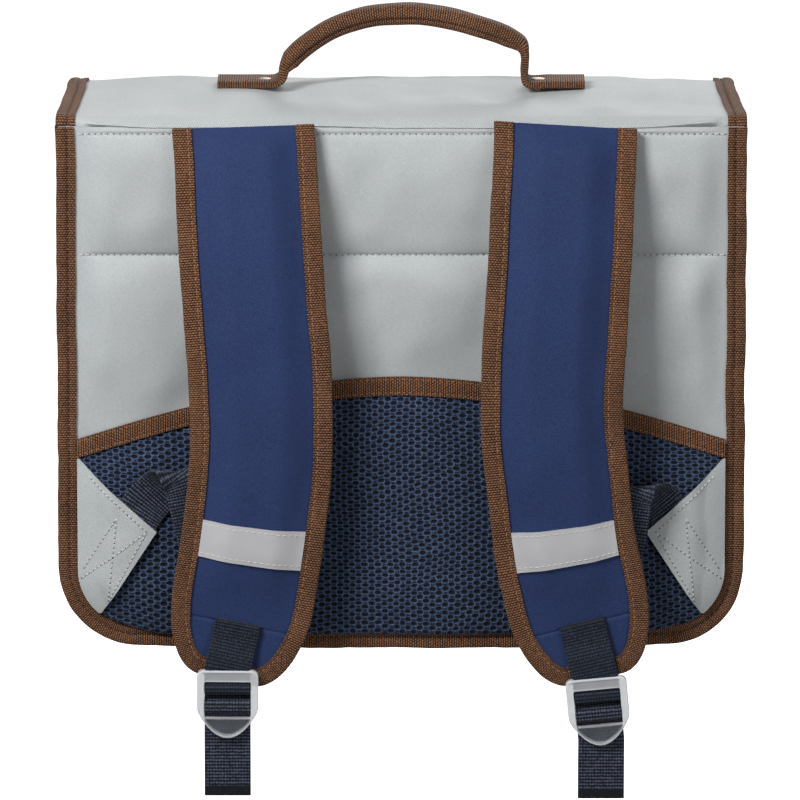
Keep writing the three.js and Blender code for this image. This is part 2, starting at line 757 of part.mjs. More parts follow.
// Short web folded round the buckle's upper bar, with both layers sewn on the strap's end
function makeWebTab(path, frame) {
  const back = frame.lift - gap / 2 - tabThickness / 2;
  const onStrap = (fromEnd, h) => ({
    point: path.place(0, path.length - fromEnd, h),
    across: path.frame(path.length).across,
  });
  const onBuckle = (w, h) => ({ point: frame.place(0, w, h), across: frame.across });
  const layer = tabThickness + gap;
  const behind = -gap / 2 - tabThickness / 2;
  const clear = gap + tabThickness / 2 + 0.2;
  const low = strapRim / 2 + gap + tabThickness / 2;
  const points = [
    onStrap(tabLength, low + layer), onStrap(tabLength * 0.65, low + layer),
    onStrap(tapeWidth + 4, back + layer), onBuckle(1, behind + layer + gap),
    onBuckle(buckleHeadLength - 1, behind + layer + gap),
    onBuckle(tabBarTop - clear, barFront),
    ...roundBar(tabBarTop, tabBarEnd, clear).map(([w, h]) => onBuckle(w, h)),
    onBuckle(tabBarEnd + clear * 0.72, barBack - clear * 0.72),
    onBuckle(tabBarEnd - 0.6, behind), onBuckle(tabBarTop, behind), onBuckle(1, behind),
    onStrap(tapeWidth + 4, back), onStrap(tabLength * 0.65, low), onStrap(tabLength, low),
  ];
  return band(webStations(points, webWidth, tabThickness, 2));
}

// Route of an adjuster web from its root under the patch to the strap. Shares: along of the
// way from the patch's edge to the strap's middle, up of loopHeight from the patch's edge, out
// of the room between the mesh pad and the strap's back. turn is the lie of its width.
const webTable = {
  left: [
    { along: -0.08, up: -0.3, out: 0, turn: -38 },
    { along: 0, up: 0, out: 0, turn: -38 },
    { along: 0.13, up: 0.38, out: 0.12, turn: -36 },
    { along: 0.23, up: 0.68, out: 0.3, turn: -30 },
    { along: 0.3, up: 0.8, out: 0.56, turn: -18 },
    { along: 0.34, up: 0.72, out: 0.82, turn: -2 },
    { along: 0.37, up: 0.48, out: 0.95, turn: 10 },
    { along: 0.43, up: 0, out: 0.9, turn: 14 },
    { along: 0.52, up: -0.6, out: 0.72, turn: 14 },
    { along: 0.62, up: -1.25, out: 0.66, turn: 13 },
    { along: 0.72, up: -1.85, out: 0.7, turn: 11 },
  ],
  right: [
    { along: -0.06, up: -0.3, out: 0, turn: -34 },
    { along: 0, up: 0, out: 0, turn: -34 },
    { along: 0.09, up: 0.3, out: 0.12, turn: -34 },
    { along: 0.19, up: 0.52, out: 0.3, turn: -28 },
    { along: 0.29, up: 0.6, out: 0.56, turn: -16 },
    { along: 0.38, up: 0.5, out: 0.82, turn: 0 },
    { along: 0.43, up: 0.3, out: 0.95, turn: 8 },
    { along: 0.47, up: -0.1, out: 0.9, turn: 9 },
    { along: 0.53, up: -0.6, out: 0.72, turn: 12 },
    { along: 0.6, up: -1.25, out: 0.66, turn: 14 },
    { along: 0.67, up: -1.85, out: 0.7, turn: 12 },
  ],
};

function makeAdjusterWeb(path, frame) {
  const side = path.side;
  const rootX = panelEdge - patchReach * 0.76;
  const rootZ = patchTip + patchDip * 2;
  const seated = meshHeight(rootX, rootZ) + gap + webThickness / 2;
  const room = strapStandOff - strapRim / 2 - seat - gap - webThickness - seated;
  const reach = rootX - strapSpread;
  const rows = webTable[side < 0 ? 'left' : 'right'];
  const loose = rows.map(({ along, up, out, turn }) => {
    const angle = THREE.MathUtils.degToRad(turn);
    return {
      point: onBack(side * (rootX - reach * along), rootZ + loopHeight * up, seated + room * out),
      across: new THREE.Vector3(Math.cos(angle), 0, -side * Math.sin(angle)),
    };
  });
  const onBuckle = (w, h) => ({ point: frame.place(0, w, h), across: frame.across });
  const behindStrap = -frame.lift - strapRim / 2 - seat - gap - webThickness;
  const clear = gap + webThickness / 2 + 0.15;
  const soft = clear * 0.72;
  const { overlap } = frame;
  const threaded = [
    onBuckle(-overlap, behindStrap - 2.5), onBuckle(overlap / 2 + 1.5, behindStrap - 1.6),
    onBuckle(webBarTop - 5, behindStrap / 2 - 1), onBuckle(webBarTop - clear - 0.4, -1),
    onBuckle(webBarTop - clear, barFront - 0.6), onBuckle(webBarTop - soft + 0.3, barFront + soft),
    ...roundBar(webBarTop, webBarEnd, clear).map(([w, h]) => onBuckle(w, h)),
    onBuckle(windowEnd - clear - 0.2, 0), onBuckle(windowEnd - soft, -soft),
    onBuckle(windowEnd + 0.6, -clear), onBuckle(windowEnd + buckleTongueLength / 2, -clear),
    onBuckle(buckleLength - buckleTongueLength / 4, -clear),
  ];
  const leaving = threaded[threaded.length - 1].point;
  const plumb = new THREE.Vector3(1, 0, 0);
  const tail = range(3, leaving.z, frame.tailEnd).slice(1).map((z) => ({
    point: new THREE.Vector3(leaving.x, leaving.y, z),
    across: plumb,
  }));
  return band(webStations([...loose, ...threaded, ...tail], webWidth, webThickness, 2));
}

// Handle along the bag's width. Shares: across of half handleSpan, up of handleRise over the
// feet, wide and thick between the flat web of the feet (0) and the folded grip (1).
const handleTable = [
  { across: -1, up: 0, wide: 0, thick: 0 },
  { across: -0.8, up: 0, wide: 0, thick: 0 },
  { across: -0.675, up: 0.01, wide: 0, thick: 0 },
  { across: -0.645, up: 0.13, wide: 0.35, thick: 0.3 },
  { across: -0.615, up: 0.38, wide: 0.8, thick: 0.75 },
  { across: -0.555, up: 0.54, wide: 1, thick: 1 },
  { across: -0.45, up: 0.68, wide: 1, thick: 1 },
  { across: -0.31, up: 0.86, wide: 1, thick: 1 },
  { across: -0.16, up: 0.965, wide: 1, thick: 1 },
  { across: 0, up: 1, wide: 1, thick: 1 },
  { across: 0.16, up: 0.975, wide: 1, thick: 1 },
  { across: 0.31, up: 0.9, wide: 1, thick: 1 },
  { across: 0.45, up: 0.79, wide: 1, thick: 1 },
  { across: 0.575, up: 0.67, wide: 1, thick: 0.95 },
  { across: 0.655, up: 0.53, wide: 0.8, thick: 0.6 },
  { across: 0.675, up: 0.33, wide: 0.4, thick: 0.15 },
  { across: 0.672, up: 0.12, wide: 0.1, thick: 0.05 },
  { across: 0.685, up: 0.01, wide: 0, thick: 0 },
  { across: 0.82, up: 0, wide: 0, thick: 0 },
  { across: 1, up: 0, wide: 0, thick: 0 },
];
const footMiddle = flapPeak.z + gap + handleFootThickness / 2;

function makeHandle() {
  const points = handleTable.map(({ across, up }) =>
    new THREE.Vector3(across * handleSpan / 2, flapPeak.y, footMiddle + up * handleRise));
  const eight = range(8, 0, 2 * Math.PI).slice(0, 8).map((angle) => angle + Math.PI / 8);
  const contour = eight.map((angle) => {
    const [c, s] = [Math.cos(angle), Math.sin(angle)];
    return new THREE.Vector2(Math.sign(c) * Math.abs(c) ** 0.6, Math.sign(s) * Math.abs(s) ** 0.6);
  });
  const widest = Math.max(...contour.map((p) => p.x));
  const rings = points.map((point, i) => {
    const along = points[Math.min(points.length - 1, i + 1)].clone()
      .sub(points[Math.max(0, i - 1)]).normalize();
    const normal = new THREE.Vector3(-along.z, 0, along.x);
    const { wide, thick } = handleTable[i];
    const width = handleFootWidth + (gripWidth - handleFootWidth) * wide;
    const depth = handleFootThickness + (gripThickness - handleFootThickness) * thick;
    return contour.map((p) => point.clone()
      .add(new THREE.Vector3(0, p.x / widest * width / 2, 0))
      .addScaledVector(normal, p.y / widest * depth / 2));
  });
  const whole = toSolid(loft(rings, contour));
  return fromSolid(rivetHoles().reduce((cut, hole) => cut.subtract(hole), whole));
}

// Clearance holes for the rivets through the feet and the flap
function rivetHoles() {
  const deep = handleFootThickness + clothWall + 4 * gap;
  return [-1, 1].map((side) => toSolid(new THREE.CylinderGeometry(
    rivetShank / 2 + gap, rivetShank / 2 + gap, 2 * deep, 10,
  ).rotateX(Math.PI / 2).translate(side * rivetSpread, flapPeak.y, flapPeak.z)));
}

function makeRivet(side) {
  const under = flapPeak.z - clothWall - 2 * gap;
  const over = footMiddle + handleFootThickness / 2 + gap;
  const head = rivetHead / 2;
  const profile = [
    [0, under - tapeWall], [head * 0.8, under - tapeWall], [head * 0.8, under],
    [rivetShank / 2, under], [rivetShank / 2, over], [head, over],
    [head * 0.85, over + rivetDome * 0.6], [head * 0.45, over + rivetDome], [0, over + rivetDome],
  ].map(([r, z]) => new THREE.Vector2(r, z));
  const turned = mergeVertices(stripped(new THREE.LatheGeometry(profile, 10)));
  turned.rotateX(Math.PI / 2).translate(side * rivetSpread, flapPeak.y, 0);
  return faceOutward([...turned.attributes.position.array], [...turned.index.array]);
}

function stripped(geometry) {
  geometry.deleteAttribute('normal');
  geometry.deleteAttribute('uv');
  return geometry;
}

// Plain closure: a plate over the flap's lower edge whose foot reaches the front panel
function makeClasp(side) {
  const face = flapFrontFace + seat + gap;
  const panelFace = bagDepth / 2 + frontCrown + gap;
  const top = flapBottom + claspLength - claspFoot;
  const bottom = flapBottom - claspFoot;
  const ledge = flapBottom - gap - seat;
  const shape = new THREE.Shape([
    [face, ledge], [face, top], [face + claspThickness, top],
    [face + claspThickness, bottom], [panelFace, bottom], [panelFace, ledge],
  ].map(([y, z]) => new THREE.Vector2(y, z)));
  const block = new THREE.ExtrudeGeometry(shape, { depth: claspWidth, bevelEnabled: false });
  const turn = new THREE.Matrix4().makeBasis(
    new THREE.Vector3(0, 1, 0), new THREE.Vector3(0, 0, 1), new THREE.Vector3(1, 0, 0),
  );
  turn.setPosition(side * claspSpread - claspWidth / 2, 0, 0);
  block.applyMatrix4(turn);
  return fromSolid(toSolid(block));
}

const finish = {
  cloth: { color: 0xbdc3c2, roughness: 0.85, metalness: 0 },
  padding: { color: 0x2c3d6b, roughness: 0.9, metalness: 0 },
  mesh: { color: 0x26344f, roughness: 0.95, metalness: 0 },
  tape: { color: 0x6a442c, roughness: 0.8, metalness: 0 },
  webbing: { color: 0x262b3a, roughness: 0.8, metalness: 0 },
  reflective: { color: 0xbcbcbe, roughness: 0.45, metalness: 0.1 },
  plastic: { color: 0xc8cbd0, roughness: 0.35, metalness: 0 },
  metal: { color: 0xb9a48a, roughness: 0.3, metalness: 0.9 },
};

const bag = new THREE.Group();

function addPiece(name, look, geometry) {
  const material = new THREE.MeshStandardMaterial(finish[look]);
  const piece = new THREE.Mesh(geometry, material);
  piece.name = name;
  bag.add(piece);
}

addPiece('back_panel', 'cloth', makeBackPanel());
addPiece('gusset', 'cloth', makeGusset());
addPiece('front_panel', 'cloth', makeFrontPanel());
addPiece('flap', 'cloth', makeFlap());
addPiece('back_binding', 'tape', makeBackBinding());
addPiece('front_binding', 'tape', makeFrontBinding());
addPiece('flap_binding', 'tape', makeFlapBinding());
addPiece('lumbar_mesh_pad', 'mesh', makeMeshPad());
addPiece('lumbar_tape', 'tape', makeLumbarTape());
addPiece('handle', 'tape', makeHandle());

for (const [name, side] of [['left', -1], ['right', 1]]) {
  const path = makeStrapPath(side);
  const frame = makeBuckleFrame(path);
  addPiece(`corner_patch_${name}`, 'cloth', makeCornerPatch(side));
  addPiece(`adjuster_web_${name}`, 'webbing', makeAdjusterWeb(path, frame));
  addPiece(`shoulder_strap_${name}`, 'padding', makeShoulderStrap(path));
  addPiece(`strap_binding_${name}`, 'tape', makeStrapBinding(path));
  addPiece(`reflective_strip_${name}`, 'reflective', makeReflector(path));
  addPiece(`web_tab_${name}`, 'webbing', makeWebTab(path, frame));
  addPiece(`buckle_${name}`, 'plastic', makeBuckle(frame));
  addPiece(`rivet_${name}`, 'metal', makeRivet(side));
  addPiece(`clasp_${name}`, 'metal', makeClasp(side));
}

// The origin is under the middle of the grip, where a finger or a peg holds it
bag.position.set(0, -flapPeak.y, -(footMiddle + handleRise - gripThickness / 2));

const ransel = new THREE.Group();
ransel.add(bag);

export default ransel;
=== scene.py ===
# School ransel, seen from the side that lies on the wearer's back. Lengths are millimetres in
# the bag's own frame, z = 0 at the bottom of its bindings and y = 0 at mid depth, until a mesh
# is made in the row's metres.
import math

import bpy
import numpy as np
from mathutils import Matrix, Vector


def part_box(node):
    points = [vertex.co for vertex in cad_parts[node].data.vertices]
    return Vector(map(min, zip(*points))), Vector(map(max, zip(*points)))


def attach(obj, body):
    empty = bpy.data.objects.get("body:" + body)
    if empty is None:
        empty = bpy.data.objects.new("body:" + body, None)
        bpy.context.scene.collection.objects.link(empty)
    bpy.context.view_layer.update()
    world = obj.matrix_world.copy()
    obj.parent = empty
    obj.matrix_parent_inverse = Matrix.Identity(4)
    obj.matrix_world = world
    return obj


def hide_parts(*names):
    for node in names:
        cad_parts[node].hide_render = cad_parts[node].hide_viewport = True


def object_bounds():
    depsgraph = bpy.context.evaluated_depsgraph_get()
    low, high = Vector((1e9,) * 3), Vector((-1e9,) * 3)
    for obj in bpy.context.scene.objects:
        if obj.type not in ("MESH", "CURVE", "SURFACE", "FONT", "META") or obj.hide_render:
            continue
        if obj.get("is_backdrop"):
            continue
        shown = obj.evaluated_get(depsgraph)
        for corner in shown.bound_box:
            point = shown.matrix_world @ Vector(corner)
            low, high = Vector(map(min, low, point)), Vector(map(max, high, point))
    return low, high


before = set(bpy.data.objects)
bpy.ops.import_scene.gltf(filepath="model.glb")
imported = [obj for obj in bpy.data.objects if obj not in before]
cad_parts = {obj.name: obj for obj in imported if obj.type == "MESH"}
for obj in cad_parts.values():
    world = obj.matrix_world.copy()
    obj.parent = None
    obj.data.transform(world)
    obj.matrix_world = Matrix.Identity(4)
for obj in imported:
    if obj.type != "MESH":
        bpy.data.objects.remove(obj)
cad_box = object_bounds()

# Studio: a pale floor under the hanging bag and large soft lights in a pale room. The camera
# looks at the back from 5 m away and 12 degrees above the horizon.
bag_width = 380.0
back_y = -75.0
tape_wall = 1.2
gap = 0.3
seat = tape_wall + gap
binding_corner = np.array([-bag_width / 2, back_y - seat, 0.0])
bag_shift = np.array(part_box("back_binding")[0]) * 1000 - binding_corner


def to_row(points):
    """Bag millimetres to the row's metres: the bag's shift is added and the sum is scaled."""
    return (np.asarray(points, dtype=float) + bag_shift) / 1000


view_distance = 5000.0
view_elevation = math.radians(12)
view_target = np.array([-0.66, -77.0, 139.2])
view_width = 441.84
camera_data = bpy.data.cameras.new("camera")
camera_data.sensor_width = 36
camera_data.lens = 36 * view_distance / view_width
camera_data.clip_end = 100
camera = bpy.data.objects.new("camera", camera_data)
away = np.array([0.0, -math.cos(view_elevation), math.sin(view_elevation)])
camera.location = to_row(view_target + view_distance * away)
camera.rotation_euler = (math.pi / 2 - view_elevation, 0, 0)
bpy.context.collection.objects.link(camera)
bpy.context.scene.camera = camera
bpy.context.scene.view_settings.view_transform = "Standard"

room = bpy.data.worlds.new("room")
room.use_nodes = True
room.node_tree.nodes["Background"].inputs["Color"].default_value = (1, 1, 1, 1)
room.node_tree.nodes["Background"].inputs["Strength"].default_value = 0.2
bpy.context.scene.world = room

# Soft lights: where each stands in metres from the origin, its size and its power in watts
lights = [
    {"name": "key", "at": (-0.85, -1.25, 0.95), "size": 0.7, "watts": 27},
    {"name": "fill", "at": (1.6, -2.4, 0.4), "size": 1.6, "watts": 14},
    {"name": "rear", "at": (0.6, 2.2, 1.1), "size": 1.4, "watts": 34},
]
for light in lights:
    lamp = bpy.data.lights.new(light["name"], "AREA")
    lamp.shape = "SQUARE"
    lamp.size = light["size"]
    lamp.energy = light["watts"]
    holder = bpy.data.objects.new(light["name"], lamp)
    here = np.array(light["at"])
    holder.location = here
    flat = math.hypot(here[0], here[1])
    tilt = math.atan2(flat, here[2] + 0.2)
    holder.rotation_euler = (tilt, 0, math.atan2(here[0], -here[1]))
    bpy.context.collection.objects.link(holder)


class Number:
    """A number in a material's node tree; + - * / and ** add Math nodes to it."""

    def __init__(self, finish, socket):
        self.finish = finish
        self.socket = socket

    def of(self, operation, *others, first=None):
        terms = [self, *others] if first is None else [first, self]
        inputs = {i: term for i, term in enumerate(terms)}
        made = self.finish.node("ShaderNodeMath", {"operation": operation}, inputs)
        return Number(self.finish, made.outputs[0])

    def __add__(self, other):
        return self.of("ADD", other)

    def __sub__(self, other):
        return self.of("SUBTRACT", other)

    def __mul__(self, other):
        return self.of("MULTIPLY", other)

    def __truediv__(self, other):
        return self.of("DIVIDE", other)

    def __pow__(self, other):
        return self.of("POWER", other)

    def __rsub__(self, other):
        return self.of("SUBTRACT", first=other)

    __radd__ = __add__
    __rmul__ = __mul__

    def sine(self):
        return self.of("SINE")

    def size(self):
        return self.of("ABSOLUTE")

    def floor(self):
        return self.of("FLOOR")

    def most(self, other):
        return self.of("MAXIMUM", other)

    def least(self, other):
        return self.of("MINIMUM", other)

    def kept(self):
        """The number held between 0 and 1."""
        return self.most(0.0).least(1.0)

    def step(self, low, high):
        """0 below low, 1 above high and a smooth rise between them."""
        t = ((self - low) / (high - low)).kept()
        return t * t * (3.0 - 2.0 * t)


class Finish:
    """One material. node() adds any node by its type, its settings and its inputs."""

    def __init__(self, name):
        self.material = bpy.data.materials.new(name)
        self.material.use_nodes = True
        self.nodes = self.material.node_tree.nodes
        self.nodes.clear()

    def node(self, kind, settings=None, inputs=None):
        made = self.nodes.new(kind)
        for key, value in (settings or {}).items():
            setattr(made, key, value)
        for key, value in (inputs or {}).items():
            if isinstance(value, Number):
                value = value.socket
            if isinstance(value, bpy.types.NodeSocket):
                self.material.node_tree.links.new(value, made.inputs[key])
            else:
                made.inputs[key].default_value = value
        return made

    def number(self, socket):
        return Number(self, socket)

    def lay(self):
        """Millimetres across and along the piece, from its own "lay" attribute."""
        lay = self.node("ShaderNodeAttribute", {"attribute_name": "lay"})
        split = self.node("ShaderNodeSeparateXYZ", None, {0: lay.outputs["Vector"]})
        return self.number(split.outputs[0]), self.number(split.outputs[1])

    def noise(self, size, detail=2.0, stretch=(1, 1, 1)):
        """Noise on Object coordinates whose blotches are about size millimetres across."""
        place = self.node("ShaderNodeTexCoord").outputs["Object"]
        turned = self.node("ShaderNodeMapping", None, {"Vector": place, "Scale": stretch})
        inputs = {"Vector": turned.outputs[0], "Scale": 1000 / size, "Detail": detail}
        return self.number(self.node("ShaderNodeTexNoise", None, inputs).outputs[0])

    def blend(self, share, low, high):
        """Colour that goes from low to high with the share."""
        inputs = {0: share, 6: low, 7: high}
        settings = {"data_type": "RGBA", "clamp_factor": True}
        return self.node("ShaderNodeMix", settings, inputs).outputs[2]

    def close(self, colour, roughness, height=None, relief=0.2, constants=None):
        """Principled shader with a bump of relief millimetres for a height of 0 to 1."""
        inputs = {"Base Color": colour, "Roughness": roughness, **(constants or {})}
        if height is not None:
            bump = {"Strength": 1.0, "Distance": relief / 1000, "Height": height}
            inputs["Normal"] = self.node("ShaderNodeBump", None, bump).outputs[0]
        shader = self.node("ShaderNodeBsdfPrincipled", None, inputs)
        self.node("ShaderNodeOutputMaterial", None, {0: shader.outputs[0]})
        return self.material


def colour(red, green, blue):
    """Linear colour of an sRGB one given from 0 to 255."""
    share = np.array([red, green, blue]) / 255
    linear = np.where(share > 0.04045, ((share + 0.055) / 1.055) ** 2.4, share / 12.92)
    return (*linear.tolist(), 1.0)


floor_mesh = bpy.data.meshes.new("floor")
floor_half = 9000.0
floor_z = -330.0
floor_ring = [(-1, -1), (1, -1), (1, 1), (-1, 1)]
floor_corners = [(a * floor_half, b * floor_half, floor_z) for a, b in floor_ring]
floor_mesh.from_pydata(to_row(floor_corners).tolist(), [], [(0, 1, 2, 3)])
floor = bpy.data.objects.new("floor", floor_mesh)
bpy.context.collection.objects.link(floor)
floor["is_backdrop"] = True
paper = Finish("white paper")
mottle = paper.noise(400.0)
paper_colour = paper.blend(mottle, (0.93, 0.93, 0.93, 1), (0.96, 0.96, 0.96, 1))
floor_mesh.materials.append(paper.close(paper_colour, 0.9, None, 0.0, {
    "Emission Color": (1, 1, 1, 1), "Emission Strength": 0.95,
}))
floor.visible_diffuse = False
floor.visible_glossy = False

# Gusset: one long strip of grey cloth that runs down one side, under the bag and up the other.
# Its raw edges are turned out, and the bindings take them in with the panels' edges.
panel_top = 292.0
front_top = 262.0
half_width = bag_width / 2
corner_radius = 44.0
cloth_wall = 2.0
rim = 3.0
gusset_inset = 9.0
gusset_bow = 3.0
flap_tuck = 8.0
seam_radius = 5.0
front_radius = 22.0
flap_bottom = 110.0
front_crown = 2.0
top_slope = math.radians(12)
top_settle = 1.9
end_droop = 2.4
flap_front_y = -back_y + front_crown + gap + seat + cloth_wall
flap_start = (back_y + rim + gap, panel_top + gap - flap_tuck)
top_run = flap_front_y - flap_start[0] - (seam_radius + front_radius) * (1 - math.sin(top_slope))
dome_radius = top_run / (2 * math.sin(top_slope))
shoulder_z = panel_top + gap + (seam_radius - front_radius) * math.cos(top_slope)
quarter = math.pi / 2 - top_slope
flap_stretches = [
    {"length": flap_tuck, "radius": None},
    {"length": seam_radius * quarter, "radius": seam_radius},
    {"length": dome_radius * 2 * top_slope, "radius": dome_radius},
    {"length": front_radius * quarter, "radius": front_radius},
    {"length": shoulder_z - flap_bottom, "radius": None},
]
flap_marks = np.concatenate([[0.0], np.cumsum([part["length"] for part in flap_stretches])])
flap_end = flap_marks[-1]


def smooth(t):
    """0 below 0, 1 above 1 and 3t^2 - 2t^3 between them."""
    t = np.clip(t, 0, 1)
    return t * t * (3 - 2 * t)


def flap_profile(s):
    """Side profile of the flap at the distance s from its tucked edge: straight stretches and
    arcs walked one after the other, as y, z and heading."""
    s = np.asarray(s, dtype=float)
    y = np.full_like(s, flap_start[0])
    z = np.full_like(s, flap_start[1])
    heading = np.full_like(s, math.pi / 2)
    left = np.maximum(s, 0)
    for part in flap_stretches:
        step = np.minimum(left, part["length"])
        if part["radius"] is None:
            y = y + step * np.cos(heading)
            z = z + step * np.sin(heading)
        else:
            turned = heading - step / part["radius"]
            y = y + part["radius"] * (np.sin(heading) - np.sin(turned))
            z = z + part["radius"] * (np.cos(turned) - np.cos(heading))
            heading = turned
        left = left - step
    return y, z, heading


def on_flap(x, s, h):
    """Point of the flap at x across, s along its profile and h out from its outer face."""
    x, s, h = np.broadcast_arrays(x, s, h)
    y, z, heading = flap_profile(s)
    return np.stack([x, y - np.sin(heading) * h, z + np.cos(heading) * h], axis=-1)


def on_settled_flap(x, s, h):
    """The same point where the cloth has settled: the top lies lower, most at its two ends."""
    point = on_flap(x, s, h)
    on_top = smooth((s - flap_marks[1]) / 40) * smooth((flap_marks[4] - s) / 40)
    point[..., 2] -= on_top * (top_settle + end_droop * smooth((np.abs(x) - 110) / 75))
    return point


def unevenness(a, b, size, seed):
    """Soft random relief of about -1 to 1: a mean of plane waves of about the given size."""
    rng = np.random.default_rng(seed)
    total = 0
    waves = 9
    for turn, phase, scale in zip(
        rng.uniform(0, math.pi, waves), rng.uniform(0, 2 * math.pi, waves), rng.uniform(0.7, 1.5, waves)
    ):
        along = a * math.cos(turn) + b * math.sin(turn)
        total = total + np.sin(2 * math.pi * along / (size * scale) + phase)
    return total / math.sqrt(waves)


def slab(top, under):
    """Closed solid between two grids of n by m points: both are faces, and a strip of quads
    joins them along their four edges."""
    n, m = top.shape[:2]
    grid = np.arange(n * m).reshape(n, m)
    corners = [grid[:-1, :-1], grid[:-1, 1:], grid[1:, 1:], grid[1:, :-1]]
    face = np.stack(corners, axis=-1).reshape(-1, 4)
    edge = np.concatenate([grid[0], grid[1:, -1], grid[-1, -2::-1], grid[-2:0:-1, 0]])
    ahead = np.roll(edge, -1)
    count = n * m
    wall = np.stack([ahead, edge, edge + count, ahead + count], axis=-1)
    points = np.concatenate([top.reshape(-1, 3), under.reshape(-1, 3)])
    return points, [face, face[:, ::-1] + count, wall]


def enclosed(points, faces):
    """Volume that the faces enclose: the sum over their triangles of a . (b x c) / 6."""
    total = 0.0
    for part in faces:
        a = points[part[:, 0]]
        for k in range(1, part.shape[1] - 1):
            b, c = points[part[:, k]], points[part[:, k + 1]]
            total += np.einsum("ij,ij->", a, np.cross(b, c)) / 6
    return total


def add_piece(name, shape, lay, finish, stands_for=(), crease=40):
    """Object of a closed shape with its faces turned outwards, its lay kept as an attribute."""
    points, faces = shape
    if enclosed(points, faces) < 0:
        faces = [part[:, ::-1] for part in faces]
    mesh = bpy.data.meshes.new(name)
    mesh.from_pydata(to_row(points).tolist(), [], [face for part in faces for face in part.tolist()])
    kept = np.zeros((len(points), 3))
    kept[:, :lay.shape[-1]] = lay.reshape(-1, lay.shape[-1])
    mesh.attributes.new("lay", "FLOAT_VECTOR", "POINT").data.foreach_set("vector", kept.ravel())
    mesh.polygons.foreach_set("use_smooth", np.ones(len(mesh.polygons), dtype=bool))
    mesh.set_sharp_from_angle(angle=math.radians(crease))
    mesh.materials.append(finish)
    piece = bpy.data.objects.new(name, mesh)
    bpy.context.collection.objects.link(piece)
    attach(piece, "root")
    if stands_for:
        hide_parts(*stands_for)
    return piece


def both(lay):
    """The same lay for the two grids of a slab."""
    flat = lay.reshape(-1, lay.shape[-1])
    return np.concatenate([flat, flat])


def walk(line):
    """Distance along a line of points from its first point."""
    steps = np.linalg.norm(np.diff(line, axis=0), axis=1)
    return np.concatenate([[0.0], np.cumsum(steps)])


def spread(stops, pitch):
    """Places between stops, no further apart than the pitch, with the stops among them."""
    parts = [
        np.linspace(low, high, max(2, math.ceil((high - low) / pitch) + 1))[:-1]
        for low, high in zip(stops[:-1], stops[1:])
    ]
    return np.concatenate([*parts, [stops[-1]]])


def panel_outline(inset, top, pitch=3.0, arc_steps=20):
    """U outline of a panel from the top left round its lower corners to the top right, with
    its outward normals: straight runs joined by quarter circles of the corner's radius."""
    reach = half_width - corner_radius
    radius = corner_radius - inset
    turn = np.linspace(0, math.pi / 2, arc_steps + 1)
    side_z = spread([top, corner_radius][::-1], pitch)[::-1]
    side = np.stack([np.full_like(side_z, inset - half_width), side_z], axis=-1)
    arc_x = -reach - radius * np.cos(turn)
    arc_z = corner_radius - radius * np.sin(turn)
    arc = np.stack([arc_x, arc_z], axis=-1)
    base_x = spread([-reach, 0.0], pitch)
    base = np.stack([base_x, np.full_like(base_x, inset)], axis=-1)
    left = np.concatenate([side[:-1], arc[:-1], base])
    line = np.concatenate([left, (left * [-1, 1])[-2::-1]])
    along = np.gradient(line, axis=0)
    along /= np.linalg.norm(along, axis=1, keepdims=True)
    out = np.stack([along[:, 1], -along[:, 0]], axis=-1)
    return line, out


flap_under_s = spread([flap_marks[1], flap_marks[4]], 2.0)
flap_under = on_settled_flap(half_width, flap_under_s, -cloth_wall - seat - 2 * gap)
mouth_slope = 1.0


def mouth_height(y):
    """Top of the side walls: just under the flap, and falling to the front panel's top."""
    under = np.interp(y, flap_under[:, 1], flap_under[:, 2]) - 2 * gap
    return np.minimum(under, front_top + (-back_y - y) * mouth_slope)


def woven_cloth(name, light, dark, thread, relief, roughness, sheen):
    """Fine plain weave: bumps in a chequer of one thread's pitch, lighter on their raised crossings as a
    painted highlight, with slubs and soft wear.
    """
    cloth = Finish(name)
    across, along = cloth.lay()
    wave = 2 * math.pi / thread
    weave = (across * wave).sine() * (along * wave).sine() * 0.5 + 0.5
    slub = cloth.noise(0.9, 1.0)
    blotch = cloth.noise(38.0, 3.0)
    # The weave's lighter raised crossings are a painted highlight
    share = weave * 0.75 + slub * 0.8 + blotch * 0.35 - 0.45
    rough = blotch * 0.12 + roughness
    height = weave * 0.8 + slub * 0.6
    return cloth.close(cloth.blend(share, dark, light), rough, height, relief, {
        "Sheen Weight": sheen, "Sheen Roughness": 0.5, "Specular IOR Level": 0.35,
    })


grey_cloth = woven_cloth(
    "grey cloth", colour(209, 213, 214), colour(172, 178, 179), 1.3, 0.12, 0.62, 0.12
)

gusset_line, gusset_out = panel_outline(0.0, panel_top)
gusset_edge = -back_y - rim - gap
gusset_wall = gusset_edge - cloth_wall
bow_place = np.linspace(-1, 1, 25)
bow_out = gusset_bow * smooth((1 - np.abs(bow_place)) / 0.45)
outer_inset = np.concatenate([[seat, seat + 2], gusset_inset - bow_out, [seat + 2, seat]])
outer_y = np.concatenate([
    [-gusset_wall, -gusset_wall], gusset_wall * bow_place, [gusset_wall, gusset_wall]
])
inner_inset = np.concatenate([[seat, seat + 2], gusset_inset + cloth_wall - bow_out, [seat + 2, seat]])
inner_y = np.concatenate([
    [-gusset_edge, -gusset_edge], gusset_edge * bow_place, [gusset_edge, gusset_edge]
])


def gusset_sheet(inset, y, relief):
    """Section of (inset, y) carried round the outline; its two ends are cut to the mouth."""
    a = gusset_line[:, None, 0] - gusset_out[:, None, 0] * (inset - relief)
    b = gusset_line[:, None, 1] - gusset_out[:, None, 1] * (inset - relief)
    rise = smooth((b - corner_radius) / (panel_top - corner_radius))
    top = mouth_height(y)[None, :]
    b = np.where(b > corner_radius, b + (top - panel_top) * rise, b)
    return np.stack([a, np.broadcast_to(y, a.shape), b], axis=-1)


